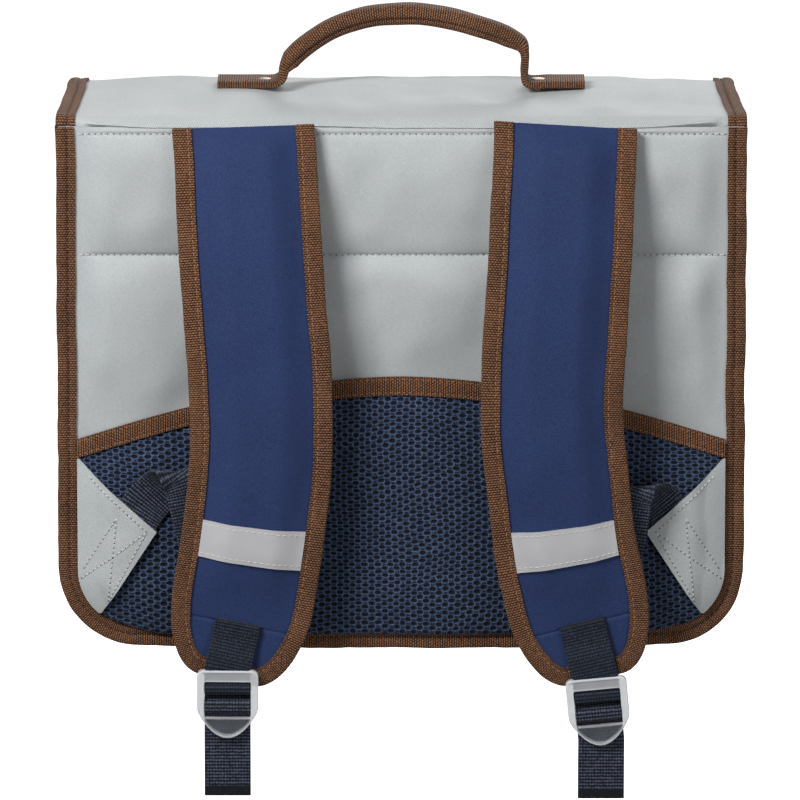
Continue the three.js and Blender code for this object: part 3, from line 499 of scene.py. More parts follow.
gusset_along = walk(gusset_line)
gusset_lay = np.stack(np.broadcast_arrays(outer_y[None, :], gusset_along[:, None]), axis=-1)
gusset_free = smooth((gusset_wall - np.abs(outer_y)) / 25)
gusset_relief = gusset_free * 0.9 * unevenness(gusset_lay[..., 0], gusset_lay[..., 1], 95, 3)
gusset = add_piece(
    "gusset_cloth",
    slab(
        gusset_sheet(outer_inset, outer_y, gusset_relief),
        gusset_sheet(inner_inset, inner_y, gusset_relief),
    ),
    both(gusset_lay), grey_cloth, ["gusset"],
)
gusset_flat = (2 * gusset_edge + 2 * (gusset_inset - seat), gusset_along[-1])
gusset_flat[0] / 1000
gusset_flat[1] / 1000

# Back panel: two rows of foam pads under grey cloth, sewn down along a row near the top and a
# row across the middle. Under the lumbar tape it runs on flat behind the mesh pad.
tape_width = 10.5
top_seam_drop = 4.0
mid_seam_drop = 71.5
pad_crown = 5.0
pad_valley = 1.0
pad_rise = 18.0
lumbar_middle = 148.0
lumbar_side = 112.0
panel_edge = half_width - tape_width - gap
mid_seam = panel_top - mid_seam_drop
top_seam = panel_top - top_seam_drop


def on_back(x, z, h):
    """Point at x across, z up and h out from the plane of the back."""
    x, z, h = np.broadcast_arrays(x, z, h)
    return np.stack([x, back_y - h, z], axis=-1)


def lower_edge(x, inset):
    """Lower edge of a panel at x: flat, and a quarter circle into each corner."""
    along = np.maximum(0, np.abs(x) - (half_width - corner_radius))
    radius = corner_radius - inset
    return corner_radius - np.sqrt(np.maximum(0, radius**2 - along**2))


def inset_of(x, z):
    """How far a point of a panel lies inside the bindings' outer edge."""
    side = half_width - np.abs(x)
    corner = corner_radius - np.hypot(corner_radius - side, corner_radius - z)
    return np.where((side < corner_radius) & (z < corner_radius), corner, np.minimum(side, z))


def lumbar_line(x):
    """Middle of the lumbar tape: an arch that falls with the 1.75th power of x."""
    return lumbar_side + (lumbar_middle - lumbar_side) * (1 - (np.abs(x) / panel_edge) ** 1.75)


def pad_height(x, z):
    """Height of the pads: a pillow between two seams, drawn in at the sides and puckered
    where the thread pulls the cloth down."""
    low_seam = lumbar_line(x) + tape_width / 2
    above = z > mid_seam
    low = np.where(above, mid_seam, low_seam)
    high = np.where(above, top_seam, mid_seam)
    t = np.clip((z - low) / (high - low), 0, 1)
    t = np.where(above, t, t**1.7)
    pillow = 1 - np.abs(2 * t - 1) ** 3.2
    inside = smooth((inset_of(x, z) - tape_width - 2 * gap) / pad_rise)
    height = pad_valley + (pad_crown + 1.5 * ~above - pad_valley) * pillow
    near = np.minimum(np.abs(z - mid_seam), np.abs(z - top_seam))
    pucker = 0.22 * np.exp(-near / 4) * unevenness(x, z * 0.15, 7, 5)
    groove = 0.9 * np.exp(-((near / 0.9) ** 2))
    billow = smooth(near / 20) * (0.8 * unevenness(x, z, 60, 8) + 0.3 * unevenness(x, z, 24, 9))
    started = smooth((z - lumbar_line(x)) / (tape_width / 2))
    seam_end = smooth((panel_top - z) / (top_seam_drop * 0.6))
    return started * inside * (height * (0.05 + 0.95 * seam_end) + pucker - groove + billow)


def panel_columns(inset, pitch):
    """Places across a panel from side to side, closer where its corners are round."""
    radius = corner_radius - inset
    reach = half_width - corner_radius
    arc = reach + radius * np.sin(np.linspace(0, math.pi / 2, 25))
    inner = np.linspace(0, reach, math.ceil(reach / pitch) + 1)[:-1]
    right = np.concatenate([inner, arc])
    return np.concatenate([-right[:0:-1], right])


def panel_grid(columns, inset, tops, stops):
    """Grid of x and z: each column runs from the panel's lower edge up to its top, with the
    rows at the given shares of its height."""
    x = np.broadcast_to(columns[:, None], (len(columns), len(stops)))
    foot = lower_edge(columns, inset)[:, None]
    return x, foot + (tops[:, None] - foot) * stops[None, :]


back_columns = panel_columns(seat, 2.0)
back_foot = lower_edge(back_columns, seat)
back_line = np.maximum(back_foot + tape_width, lumbar_line(back_columns))
pad_rows = 1 - np.cos(np.linspace(0, math.pi / 2, 13)[:-1])
pad_share = np.concatenate([pad_rows / 2, 1 - pad_rows[::-1] / 2])
pad_share = np.unique(np.round(np.concatenate([pad_share, [0.0, 0.006, 0.012, 0.988, 0.994, 1.0]]), 5))
back_z = np.concatenate([
    back_foot[:, None] + (back_line - back_foot)[:, None] * np.linspace(0, 0.98, 6),
    (back_line[:, None] + tape_width / 2 + (mid_seam - back_line - tape_width / 2)[:, None] * pad_share),
    np.broadcast_to(mid_seam + (top_seam - mid_seam) * pad_share[1:], (len(back_line), len(pad_share) - 1)),
    np.broadcast_to(top_seam + top_seam_drop * np.linspace(0.2, 1, 5), (len(back_line), 5)),
], axis=1)
back_x = np.broadcast_to(back_columns[:, None], back_z.shape)
back_panel = add_piece(
    "back_pads",
    slab(on_back(back_x, back_z, pad_height(back_x, back_z)), on_back(back_x, back_z, -rim)),
    both(np.stack([back_x, back_z], axis=-1)), grey_cloth, ["back_panel"],
)

# Front panel: one padded sheet of the same cloth, hidden in the photo and finished plainly.
front_columns = panel_columns(seat, 4.0)
front_x, front_z = panel_grid(
    front_columns, seat, np.full(len(front_columns), front_top), np.linspace(0, 1, 48)
)
front_rise = smooth((inset_of(front_x, front_z) - tape_width - gap) / pad_rise)
front_h = front_crown * front_rise * smooth((front_top - front_z) / pad_rise)
front_h = front_h * (0.9 + 0.1 * unevenness(front_x, front_z, 80, 11))
front_face = np.stack([front_x, -back_y + front_h, front_z], axis=-1)
front_inside = np.stack([front_x, np.full_like(front_x, -back_y - rim), front_z], axis=-1)
front_panel = add_piece(
    "front_pad", slab(front_face, front_inside),
    both(np.stack([front_x, front_z], axis=-1)), grey_cloth, ["front_panel"],
)

# Flap: one sheet of grey cloth, sewn in behind the back panel's top edge. It runs over the top
# and down the front, with its lower corners round.
flap_pull_in = 3.5
flap_corner = 40.0
flap_dents = [
    (-120, 36, 3.6), (-58, 20, 3.8), (-20, 34, 2.4), (8, 14, 2.2), (54, 20, 3.6), (92, 38, 2.8),
    (132, 34, 3.0),
]


def flap_half_width(s):
    """Half width over the flap's binding: drawn in past the seam, round at the lower corners."""
    width = half_width - flap_pull_in * smooth((s - flap_marks[1]) / -back_y)
    past = np.maximum(0, s - (flap_end - flap_corner))
    return width - flap_corner + np.sqrt(np.maximum(0, flap_corner**2 - past**2))


def flap_sag(x, s):
    """Soft dents of the top beside the feet of the handle, and faint waves elsewhere."""
    peak = (flap_marks[2] + flap_marks[3]) / 2
    dent = 0
    for place, up, depth in flap_dents:
        dent = dent + depth * np.exp(-(((x - place) / 15) ** 2) - ((s - peak + up) / 20) ** 2)
    free = smooth((s - flap_marks[2]) / 12) * smooth((half_width - 14 - np.abs(x)) / 20)
    free = free * smooth((flap_end - 12 - s) / 20)
    waves = 0.8 * unevenness(x, s, 90, 21) + 0.25 * unevenness(x, s, 26, 22)
    return free * (waves - dent)


def flap_lip(x, s):
    """1 where the flap's cloth rolls over the back panel's top edge, and 0 away from it."""
    roll = np.exp(-(((s - flap_marks[1] - 1.8) / 1.5) ** 2))
    return roll * smooth((half_width - tape_width - 3 - np.abs(x)) / 8)


arc_end = flap_end - flap_corner
flap_arc = arc_end + flap_corner * np.sin(np.linspace(0, math.pi / 2, 21))
flap_s = np.concatenate([
    spread([0.0, flap_marks[1] - gap], 2.0),
    spread([flap_marks[1], flap_marks[2]], 0.9)[:-1],
    spread([flap_marks[2], flap_marks[3], flap_marks[4], arc_end], 2.5)[:-1],
    flap_arc,
])
flap_drop = np.where(flap_s > arc_end, seat * (flap_s - arc_end) / flap_corner, 0)
tuck_half = half_width - gusset_inset - cloth_wall - gap
flap_half = np.where(flap_s < flap_marks[1] - gap / 2, tuck_half, flap_half_width(flap_s) - seat)
flap_share = np.linspace(-1, 1, 125)
flap_x = flap_half[:, None] * flap_share
flap_s_grid = np.broadcast_to((flap_s - flap_drop)[:, None], flap_x.shape)
lip_share = flap_lip(flap_x, flap_s_grid)
lip_droop = 1.2 + 2.4 * smooth((half_width - 6 - np.abs(flap_x)) / 50)
lip_droop = lip_droop + 0.4 * unevenness(flap_x, 0 * flap_x, 80, 23)
lip_drop = np.stack([0 * lip_share, 0 * lip_share, lip_droop * lip_share], axis=-1)
flap_relief = flap_sag(flap_x, flap_s_grid) + 5.0 * lip_share
flap = add_piece(
    "flap_cloth",
    slab(
        on_settled_flap(flap_x, flap_s_grid, flap_relief) - lip_drop,
        on_settled_flap(flap_x, flap_s_grid, flap_relief - cloth_wall) - lip_drop,
    ),
    both(np.stack([flap_x, flap_s_grid], axis=-1)), grey_cloth, ["flap"],
)

# Bindings: brown grosgrain tape folded round every raw edge and sewn through, with its wide leg
# on the outer face. The row of thread lies in a groove of the wide leg.
inner_tape_width = 8.0
bottom_sag = 1.9
panel_stack = rim + gap + cloth_wall


def grosgrain(name, light, dark):
    """Ribbed tape: cords across it at a fixed pitch, broken by the fine warp between them. The cords' tops
    are painted light and the gaps between them near black, a painted highlight and painted shade.
    """
    tape = Finish(name)
    across, along = tape.lay()
    cord = (along * (math.pi / 1.3)).sine().size()
    row = (along / 1.3).floor()
    warp = (across * (2 * math.pi / 1.75) + row * math.pi).sine() * 0.5 + 0.5
    fuzz = tape.noise(1.3, 2.0)
    blotch = tape.noise(24.0, 2.0)
    # Lighter cord tops are a painted highlight, the dark between the cords painted shade
    share = cord * (warp * 0.6 + 0.4) + fuzz * 0.8 + blotch * 0.35 - 0.7
    height = cord * 0.7 + warp * cord * 0.5 + fuzz * 0.3
    return tape.close(tape.blend(share, dark, light), 0.8, height, 0.45, {
        "Sheen Weight": 0.1, "Sheen Roughness": 0.5, "Specular IOR Level": 0.25,
    })


# The near-black second colour is painted shade between the cords
brown_tape = grosgrain("brown tape", colour(178, 124, 87), colour(28, 14, 8))


def tape_section(stack, narrow, groove_at, groove_depth):
    """Outer and inner outline of the folded tape, as (out, height) from the raw edge: a wide
    leg with a sewn groove, a round fold and a narrow leg."""
    soft = tape_wall * 0.9
    wide = np.concatenate([np.linspace(-tape_width, -soft, 16)[:-1]])
    turn = np.linspace(0, math.pi / 2, 6)
    groove = groove_depth * np.exp(-(((wide + groove_at) / 0.9) ** 2))
    swell = 0.25 * np.sin(math.pi * np.clip((wide + groove_at) / groove_at, 0, 1))
    leg = np.linspace(-soft, -narrow, 7)[1:]
    outer = np.concatenate([
        np.stack([wide, seat - groove + swell], axis=-1),
        np.stack([-soft + soft * np.sin(turn), seat - soft + soft * np.cos(turn)], axis=-1),
        np.stack([-soft + soft * np.cos(turn), -stack - seat + soft - soft * np.sin(turn)], axis=-1),
        np.stack([leg, np.full_like(leg, -stack - seat)], axis=-1),
    ])
    tight = gap / 2
    inner = np.concatenate([
        np.stack([wide, gap - groove * 0.5], axis=-1),
        np.stack([-tape_wall + 0 * turn, gap - tight * turn / turn[-1]], axis=-1),
        np.stack([-tape_wall + 0 * turn, -stack - gap + tight - tight * turn / turn[-1]], axis=-1),
        np.stack([leg - tape_wall * (leg > -tape_wall), np.full_like(leg, -stack - gap)], axis=-1),
    ])
    return outer, inner


def fold_tape(line, out, section, place, seed):
    """The folded section carried along an outline of a pattern; place lays it on its surface.
    The raw line wavers a little, as a hand-fed tape does."""
    along = walk(line)
    waver = 0.22 * unevenness(along, 0 * along, 46, seed) + 0.08 * unevenness(along, 0 * along, 11, seed)
    grids = []
    for outline in section:
        a = line[:, None, 0] + out[:, None, 0] * (outline[None, :, 0] + waver[:, None])
        b = line[:, None, 1] + out[:, None, 1] * (outline[None, :, 0] + waver[:, None])
        grids.append(place(a, b, np.broadcast_to(outline[None, :, 1], a.shape)))
    across = walk(section[0])
    lay = np.stack(np.broadcast_arrays(across[None, :], along[:, None]), axis=-1)
    return slab(*grids), both(lay)


def on_front(x, z, h):
    """Point at x across, z up and h out from the plane of the front."""
    return np.stack([x, -back_y + h, z], axis=-1)


def thread_rows(lines, pitch=3.4, length=2.5, thick=0.32, lift=0.1, from_start=0.5):
    """Lockstitches along lines of (points, outward directions): each stitch is a slim spindle
    of three hexagonal rings and two tips that sinks into the cloth at both ends."""
    share = np.array([-0.55, 0.0, 0.55])
    turn = np.arange(6) * math.pi / 3
    ring = np.stack([np.cos(turn), np.sin(turn)], axis=-1)
    body = [[-1.0, 0.0, 0.0]]
    for t in share:
        wide = math.sqrt(1 - t * t * 0.75)
        body.extend([[t, wide * c, wide * s] for c, s in ring])
    body.append([1.0, 0.0, 0.0])
    body = np.array(body)
    quads = np.array([
        [1 + 6 * k + i, 1 + 6 * k + (i + 1) % 6, 7 + 6 * k + (i + 1) % 6, 7 + 6 * k + i]
        for k in range(2) for i in range(6)
    ])
    tips = np.array(
        [[0, 1 + (i + 1) % 6, 1 + i] for i in range(6)] + [[19, 13 + i, 13 + (i + 1) % 6] for i in range(6)]
    )
    all_points, all_quads, all_tips, first = [], [], [], 0
    for line, out in lines:
        marks = walk(line)
        count = max(1, int(marks[-1] / pitch))
        middles = (np.arange(count) + from_start) * marks[-1] / count
        ends = [middles - length / 2, middles + length / 2]
        here, back, ahead = (
            np.stack([np.interp(at, marks, line[:, k]) for k in range(3)], axis=-1)
            for at in (middles, *ends)
        )
        up = np.stack([np.interp(middles, marks, out[:, k]) for k in range(3)], axis=-1)
        along = ahead - back
        along /= np.linalg.norm(along, axis=1, keepdims=True)
        up = up - along * np.sum(up * along, axis=1, keepdims=True)
        up /= np.linalg.norm(up, axis=1, keepdims=True)
        side = np.cross(along, up)
        arch = lift - (lift + thick * 0.5) * body[:, 0] ** 2
        points = (
            here[:, None] + along[:, None] * (body[:, 0] * length / 2)[:, None]
            + side[:, None] * (body[:, 1] * thick)[:, None]
            + up[:, None] * (body[:, 2] * thick * 0.8 + arch)[:, None]
        )
        offsets = first + 20 * np.arange(count)[:, None, None]
        all_points.append(points.reshape(-1, 3))
        all_quads.append((quads[None] + offsets).reshape(-1, 4))
        all_tips.append((tips[None] + offsets).reshape(-1, 3))
        first += 20 * count
    return np.concatenate(all_points), [np.concatenate(all_quads), np.concatenate(all_tips)]


def thread_finish(name, light, dark):
    """Twisted sewing thread: a soft sheen and slight changes of colour along the row, and a dark grey
    painted shade on the stubs in the needle holes.
    """
    thread = Finish(name)
    share = thread.noise(3.0, 2.0)
    twist = thread.noise(0.35, 1.0)
    # Stubs in the needle holes are painted dark grey, a painted shade
    hole = thread.lay()[0].step(0.3, 0.7)
    shown = thread.blend(hole, thread.blend(share, dark, light), colour(62, 64, 66))
    return thread.close(shown, 0.6, twist, 0.06, {
        "Sheen Weight": 0.15, "Specular IOR Level": 0.35,
    })


def sew(name, lines, finish, slot, hole=0.0, **sizes):
    """A piece made of rows of stitches. Where hole is given, a short dark stub of that length fills each
    needle hole between two stitches; its lay is 1 across, which gives it the dark grey painted shade of the
    hole."""
    points, faces = thread_rows(lines, **sizes)
    lay = np.zeros((len(points), 2))
    if hole:
        wide = sizes.get("thick", 0.32) * 1.05
        pitch = sizes.get("pitch", 3.4)
        stubs, more = thread_rows(lines, pitch, hole, wide, 0.06, 1.0)
        faces = faces + [part + len(points) for part in more]
        points = np.concatenate([points, stubs])
        lay = np.concatenate([lay, np.tile([1.0, 0.0], (len(stubs), 1))])
    return add_piece(name, (points, faces), lay, finish, crease=60)


def row_on(place, a, b, h):
    """Line on a surface and its outward directions, from the surface's own place function."""
    line = place(a, b, h)
    return line, place(a, b, h + 1.0) - line


brown_thread = thread_finish("brown thread", colour(188, 138, 98), colour(120, 76, 50))
dark_thread = thread_finish("dark brown thread", colour(66, 40, 28), colour(38, 22, 16))

side_groove = tape_width * 0.6
bag_section = tape_section(panel_stack, inner_tape_width, side_groove, 0.9)
flap_section = tape_section(cloth_wall, tape_width, side_groove, 0.75)
for name, top, place, seed, pitch in (
    ("back_binding", panel_top, on_back, 31, 1.8), ("front_binding", front_top, on_front, 32, 3.2),
):
    line, out = panel_outline(0.0, top, pitch, 40)
    line[:, 1] -= bottom_sag * smooth((150 - np.abs(line[:, 0])) / 45)
    shape, lay = fold_tape(line, out, bag_section, place, seed)
    add_piece(f"{name}_tape", shape, lay, brown_tape, [name])
    sewn = line - out * side_groove
    level = np.full(len(sewn), seat - 0.5)
    rows = [row_on(place, sewn[:, 0], sewn[:, 1], level)]
    sew(f"{name}_thread", rows, dark_thread, "tape")

flap_binding_s = np.concatenate([
    spread([flap_marks[1], flap_marks[2]], 1.0)[:-1],
    spread([flap_marks[2], flap_marks[3], flap_marks[4], arc_end], 2.4)[:-1],
    arc_end + flap_corner * np.sin(np.linspace(0, math.pi / 2, 41)),
])
flap_side = np.stack([flap_half_width(flap_binding_s), flap_binding_s], axis=-1)
flap_foot_x = spread([-(flap_side[-1, 0]), flap_side[-1, 0]], 2.0)[::-1][1:-1]
flap_foot = np.stack([flap_foot_x, np.full_like(flap_foot_x, flap_end)], axis=-1)
flap_line = np.concatenate([flap_side, flap_foot, (flap_side * [-1, 1])[::-1]])
flap_along = np.gradient(flap_line, axis=0)
flap_along /= np.linalg.norm(flap_along, axis=1, keepdims=True)
flap_out = np.stack([flap_along[:, 1], -flap_along[:, 0]], axis=-1)
flap_shape, flap_lay = fold_tape(flap_line, flap_out, flap_section, on_settled_flap, 33)
add_piece("flap_binding_tape", flap_shape, flap_lay, brown_tape, ["flap_binding"])
flap_sewn = flap_line - flap_out * side_groove
flap_level = np.full(len(flap_sewn), seat - 0.45)
flap_rows = [row_on(on_settled_flap, flap_sewn[:, 0], flap_sewn[:, 1], flap_level)]
sew("flap_binding_thread", flap_rows, dark_thread, "tape")

# Lumbar pad: thick navy spacer mesh, a net of knitted yarn with staggered oval holes, bulging
# between the bound edge and the lumbar tape.
lumbar_edge = 2.4
mesh_crown = 10.0
mesh_rise = 34.0
hole_pitch = 7.05
hole_row = 2.05
hole_half = (1.75, 1.05)


def mesh_swell(x, z):
    """Height of the pad: full in the middle and drawn in, with the 2.4th power, to its edges."""
    from_edge = np.clip((inset_of(x, z) - tape_width) / mesh_rise, 0, 1)
    from_tape = np.clip((lumbar_line(x) - z) / mesh_rise, 0, 1)
    fullness = (1 - (1 - from_edge) ** 2.4) * (1 - (1 - from_tape) ** 2.4)
    return lumbar_edge + (mesh_crown - lumbar_edge) * fullness


def hole_depth(a, b):
    """1 in a hole and 0 on the yarn: the nearest of two staggered grids of ellipses."""
    depth = 0
    for shift in (0.0, 0.5):
        da = (a / hole_pitch + shift + 0.5) % 1 - 0.5
        db = (b / (2 * hole_row) + shift + 0.5) % 1 - 0.5
        away = np.hypot(da * hole_pitch / hole_half[0], db * 2 * hole_row / hole_half[1])
        depth = np.maximum(depth, smooth((1.25 - away) / 0.5))
    return depth


def skirted(top, foot_h, place):
    """Closed shape from one fine grid: its edge goes straight down to foot_h, and a fan closes
    the hidden underside."""
    n, m = top.shape[:2]
    grid = np.arange(n * m).reshape(n, m)
    corners = [grid[:-1, :-1], grid[:-1, 1:], grid[1:, 1:], grid[1:, :-1]]
    face = np.stack(corners, axis=-1).reshape(-1, 4)
    edge = np.concatenate([grid[0], grid[1:, -1], grid[-1, -2::-1], grid[-2:0:-1, 0]])
    points = top.reshape(-1, 3)
    foot = points[edge].copy()
    foot[:, 1] = place(0.0, 0.0, foot_h)[1]
    low = n * m + np.arange(len(edge))
    wall = np.stack([np.roll(edge, -1), edge, low, np.roll(low, -1)], axis=-1)
    middle = n * m + len(edge)
    fan = np.stack([np.roll(low, -1), low, np.full_like(low, middle)], axis=-1)
    points = np.concatenate([points, foot, foot.mean(axis=0)[None]])
    return points, [face, wall, fan]


spacer = Finish("spacer mesh")
mesh_x, mesh_z = spacer.lay()
nearest = None
for shift in (0.0, 0.5):
    column = mesh_x / hole_pitch + (shift + 0.5)
    row = mesh_z / (2 * hole_row) + (shift + 0.5)
    da = (column - column.floor() - 0.5) * (hole_pitch / hole_half[0])
    db = (row - row.floor() - 0.5) * (2 * hole_row / hole_half[1])
    away = (da * da + db * db).of("SQRT")
    nearest = away if nearest is None else nearest.least(away)
# Near-black holes: the pad's dark inner layer with painted shade of their depth
hole = 1.0 - nearest.step(0.7, 1.2)
# The lighter ring of yarn round each hole is a painted highlight
strand_highlight = nearest.step(0.9, 1.2) * (1.0 - nearest.step(1.25, 1.6))
yarn_fuzz = spacer.noise(0.9, 2.0)
yarn_tone = spacer.noise(7.0, 2.0)
yarn_share = yarn_fuzz * 1.6 + yarn_tone * 0.4 + strand_highlight * 0.6 - 0.99
yarn = spacer.blend(yarn_share, colour(8, 21, 49), colour(93, 114, 150))
# The holes' near black is partly the dark inner layer, partly painted shade
mesh_colour = spacer.blend(hole, yarn, colour(6, 12, 22))
spacer_mesh = spacer.close(mesh_colour, 0.85, (1.0 - hole) * 0.8 + yarn_fuzz * 0.4, 0.5, {
    "Sheen Weight": 0.1, "Specular IOR Level": 0.3,
})

mesh_inset = tape_width + gap
mesh_columns = panel_columns(mesh_inset, 0.85)
mesh_tops = lumbar_line(mesh_columns) - 1 - gap
mesh_grid_x, mesh_grid_z = panel_grid(mesh_columns, mesh_inset, mesh_tops, np.linspace(0, 1, 176))
# The knitted rows waver where the mesh is drawn over the pad
knit_x = mesh_grid_x + 1.7 * unevenness(mesh_grid_x, mesh_grid_z, 120, 42)
knit_x = knit_x + 0.45 * unevenness(mesh_grid_x, mesh_grid_z, 26, 43)
knit_z = mesh_grid_z + 1.5 * unevenness(mesh_grid_x, mesh_grid_z, 115, 44)
knit_z = knit_z + 0.3 * unevenness(mesh_grid_x, mesh_grid_z, 24, 45)
mesh_depth = hole_depth(knit_x, knit_z)
mesh_h = mesh_swell(mesh_grid_x, mesh_grid_z) - 0.9 * mesh_depth
mesh_h = mesh_h + 0.35 * unevenness(mesh_grid_x, mesh_grid_z, 60, 41)
# The stuffed pad sags over the upper half of the bottom binding
from_sewn = inset_of(mesh_grid_x, mesh_grid_z) - mesh_inset
at_bottom = smooth((155 - np.abs(mesh_grid_x)) / 25) * smooth(from_sewn / 0.7)
mesh_h = mesh_h + 2.4 * at_bottom * smooth(from_sewn / 2.5) * np.exp(-np.maximum(from_sewn, 0) / 16)
mesh_drop = 5.2 * at_bottom * np.exp(-np.maximum(from_sewn, 0) / 16)
mesh_top = on_back(mesh_grid_x, mesh_grid_z - mesh_drop, np.maximum(mesh_h, gap + 0.2))
mesh_shape = skirted(mesh_top, gap, on_back)
mesh_lay = np.stack([knit_x, knit_z], axis=-1).reshape(-1, 2)
mesh_lay = np.concatenate([mesh_lay, np.zeros((len(mesh_shape[0]) - len(mesh_lay), 2))])
mesh_pad = add_piece(
    "lumbar_mesh", mesh_shape, mesh_lay, spacer_mesh, ["lumbar_mesh_pad"], crease=80
)

# Lumbar tape: the same brown tape, sewn flat along both edges over the mesh pad's upper edge.
lumbar_x = np.unique(np.concatenate([
    spread([-panel_edge, panel_edge], 1.6), -half_width + corner_radius * np.array([0.3, 0.5]),
]))
lumbar_across = np.linspace(-tape_width / 2, tape_width / 2, 15)


def lumbar_seat(x):
    """Height of what lies under the tape at x: the higher of the pads and the mesh."""
    steps = np.linspace(-tape_width / 2, tape_width / 2, 7)
    z = lumbar_line(x)[:, None] + steps
    wide_x = np.broadcast_to(x[:, None], z.shape)
    under = np.minimum(z, lumbar_line(wide_x) - 1)
    return np.maximum(pad_height(wide_x, z), mesh_swell(wide_x, under)).max(axis=1) + gap


lumbar_h = lumbar_seat(lumbar_x)[:, None] + 0 * lumbar_across
lumbar_lift = tape_wall + 0.25 * np.cos(math.pi * lumbar_across / tape_width)
edge_dip = 0.25 * np.exp(-(((np.abs(lumbar_across) - tape_width * 0.36) / 0.7) ** 2))
lumbar_z = lumbar_line(lumbar_x)[:, None] + lumbar_across
lumbar_wide_x = np.broadcast_to(lumbar_x[:, None], lumbar_z.shape)
lumbar_lay = np.stack(np.broadcast_arrays(lumbar_across[None, :], lumbar_x[:, None]), axis=-1)
add_piece(
    "lumbar_tape_sewn",
    slab(
        on_back(lumbar_wide_x, lumbar_z, lumbar_h + lumbar_lift - edge_dip),
        on_back(lumbar_wide_x, lumbar_z, lumbar_h),
    ),
    both(lumbar_lay), brown_tape, ["lumbar_tape"],
)
lumbar_rows = []
for side in (-1, 1):
    rise = side * tape_width * 0.36
    height = lumbar_h[:, 0] + tape_wall - 0.15
    lumbar_rows.append(row_on(on_back, lumbar_x, lumbar_line(lumbar_x) + rise, height))
sew("lumbar_tape_thread", lumbar_rows, brown_thread, "tape", thick=0.25, length=2.2)

# Quilting rows: grey lockstitch along the top of the pads and across their middle.
grey_thread = thread_finish("grey thread", colour(230, 232, 229), colour(182, 185, 184))
quilt_x = spread([-panel_edge + 1, panel_edge - 1], 2.0)
quilt_rows = []
for seam in (mid_seam, top_seam):
    seam_z = np.full_like(quilt_x, seam)
    quilt_rows.append(row_on(on_back, quilt_x, seam_z, pad_height(quilt_x, seam_z) + 0.12))
sew("quilting_thread", quilt_rows, grey_thread, "cloth", hole=0.6, thick=0.5, length=2.7)

# Corner patches: triangles of grey cloth over the roots of the adjuster webs, sewn along both
# free sides and across the web with a crossed box.
patch_foot = 19.0
patch_tip = 67.0
patch_reach = 44.0
patch_dip = 4.0
patch_wall = 1.5
patch_slope = 21.0
web_thickness = 1.5
patch_top = lumbar_side - tape_width / 2 - gap
patch_full = mesh_crown + 3 * gap + web_thickness
patch_edge = lumbar_edge + 3 * gap
patch_rows = {
    "up": np.array([0, 0.2, 0.5, 0.75, 1]),
    "reach": np.array([1, 0.8, 0.5, 0.25, 0.03]),
}


def patch_outer(z):
    """Outer side of a patch: along the binding, and round the bag's lower corner."""
    drop = np.maximum(0, corner_radius - z)
    radius = corner_radius - tape_width - gap
    return half_width - corner_radius + np.sqrt(np.maximum(0, radius**2 - drop**2))


def patch_inner(z):
    """Inner side of a patch: straight from its foot to its tip, and a shallow hollow curve
    from the tip up to the lumbar tape."""
    up = np.clip((z - patch_tip) / (patch_top - patch_tip), 0, 1)
    upper = panel_edge - patch_reach * np.interp(up, patch_rows["up"], patch_rows["reach"])
    down = np.clip((patch_tip - z) / (patch_tip - patch_foot), 0, 1)
    foot = patch_outer(patch_foot) - patch_wall
    lower = panel_edge - patch_reach
    return np.where(z > patch_tip, upper, lower + (foot - lower) * down)


def patch_z(up):
    """Heights of the patch's rows: the upper rows dip, as its upper side hangs a little."""
    return patch_tip + (patch_top - patch_tip) * up - patch_dip * 4 * up * (1 - up)


def patch_height(x, z):
    """Height of a patch over the back: it rises from the bound edge to the top of the mesh."""
    outer = patch_outer(z)
    rise = smooth((outer - np.abs(x)) / patch_slope)
    web = 0.5 * np.exp(-(((np.abs(x) - 150) / 9) ** 2) - ((z - 62) / 12) ** 2)
    crease = 0.35 * unevenness(x, z, 28, 51)
    height = patch_edge + (patch_full - patch_edge) * rise + web + crease
    return np.maximum(height, mesh_swell(x, z) + 3 * gap)


patch_levels = np.concatenate([
    patch_z(np.linspace(1, 0, 30)), np.linspace(patch_tip, patch_foot, 26)[1:]
])
patch_share = np.linspace(0, 1, 30)
for name, side in (("left", -1), ("right", 1)):
    inner, outer = patch_inner(patch_levels), patch_outer(patch_levels)
    grid_x = side * (inner[:, None] + (outer - inner)[:, None] * patch_share)
    grid_z = np.broadcast_to(patch_levels[:, None], grid_x.shape)
    h = patch_height(grid_x, grid_z)
    patch = add_piece(
        f"corner_patch_{name}_cloth",
        slab(on_back(grid_x, grid_z, h + patch_wall), on_back(grid_x, grid_z, h)),
        both(np.stack([grid_x, grid_z], axis=-1)), grey_cloth, [f"corner_patch_{name}"],
    )
    patch_size = (patch_reach / 1000, (patch_top - patch_foot) / 1000)
    patch_size[0] * patch_size[1] * 0.5

    # Rows in the patch's own plane: two free sides and the crossed box over the web
    corners = {
        "top": (panel_edge - 6, patch_top - 9), "tip": (panel_edge - patch_reach + 5.5, patch_tip),
        "foot": (panel_edge - 17, patch_foot + 8), "edge": (panel_edge - 3.5, patch_foot + 26),
        "web_in": (panel_edge - 22, patch_tip + 8), "web_low": (panel_edge - 2, patch_foot + 20),
    }
    sewn_lines = [
        ("top", "tip"), ("tip", "foot"), ("web_in", "edge"), ("web_in", "foot"), ("tip", "web_low"),
    ]
    rows = []
    for start, end in sewn_lines:
        t = np.linspace(0, 1, 24)[:, None]
        line = np.array(corners[start]) * (1 - t) + np.array(corners[end]) * t
        x, z = side * line[:, 0], line[:, 1]
        rows.append(row_on(on_back, x, z, patch_height(x, z) + patch_wall + 0.05))
    sew(f"corner_patch_{name}_thread", rows, grey_thread, "cloth", hole=0.6, pitch=2.8,
        length=2.2, thick=0.42)

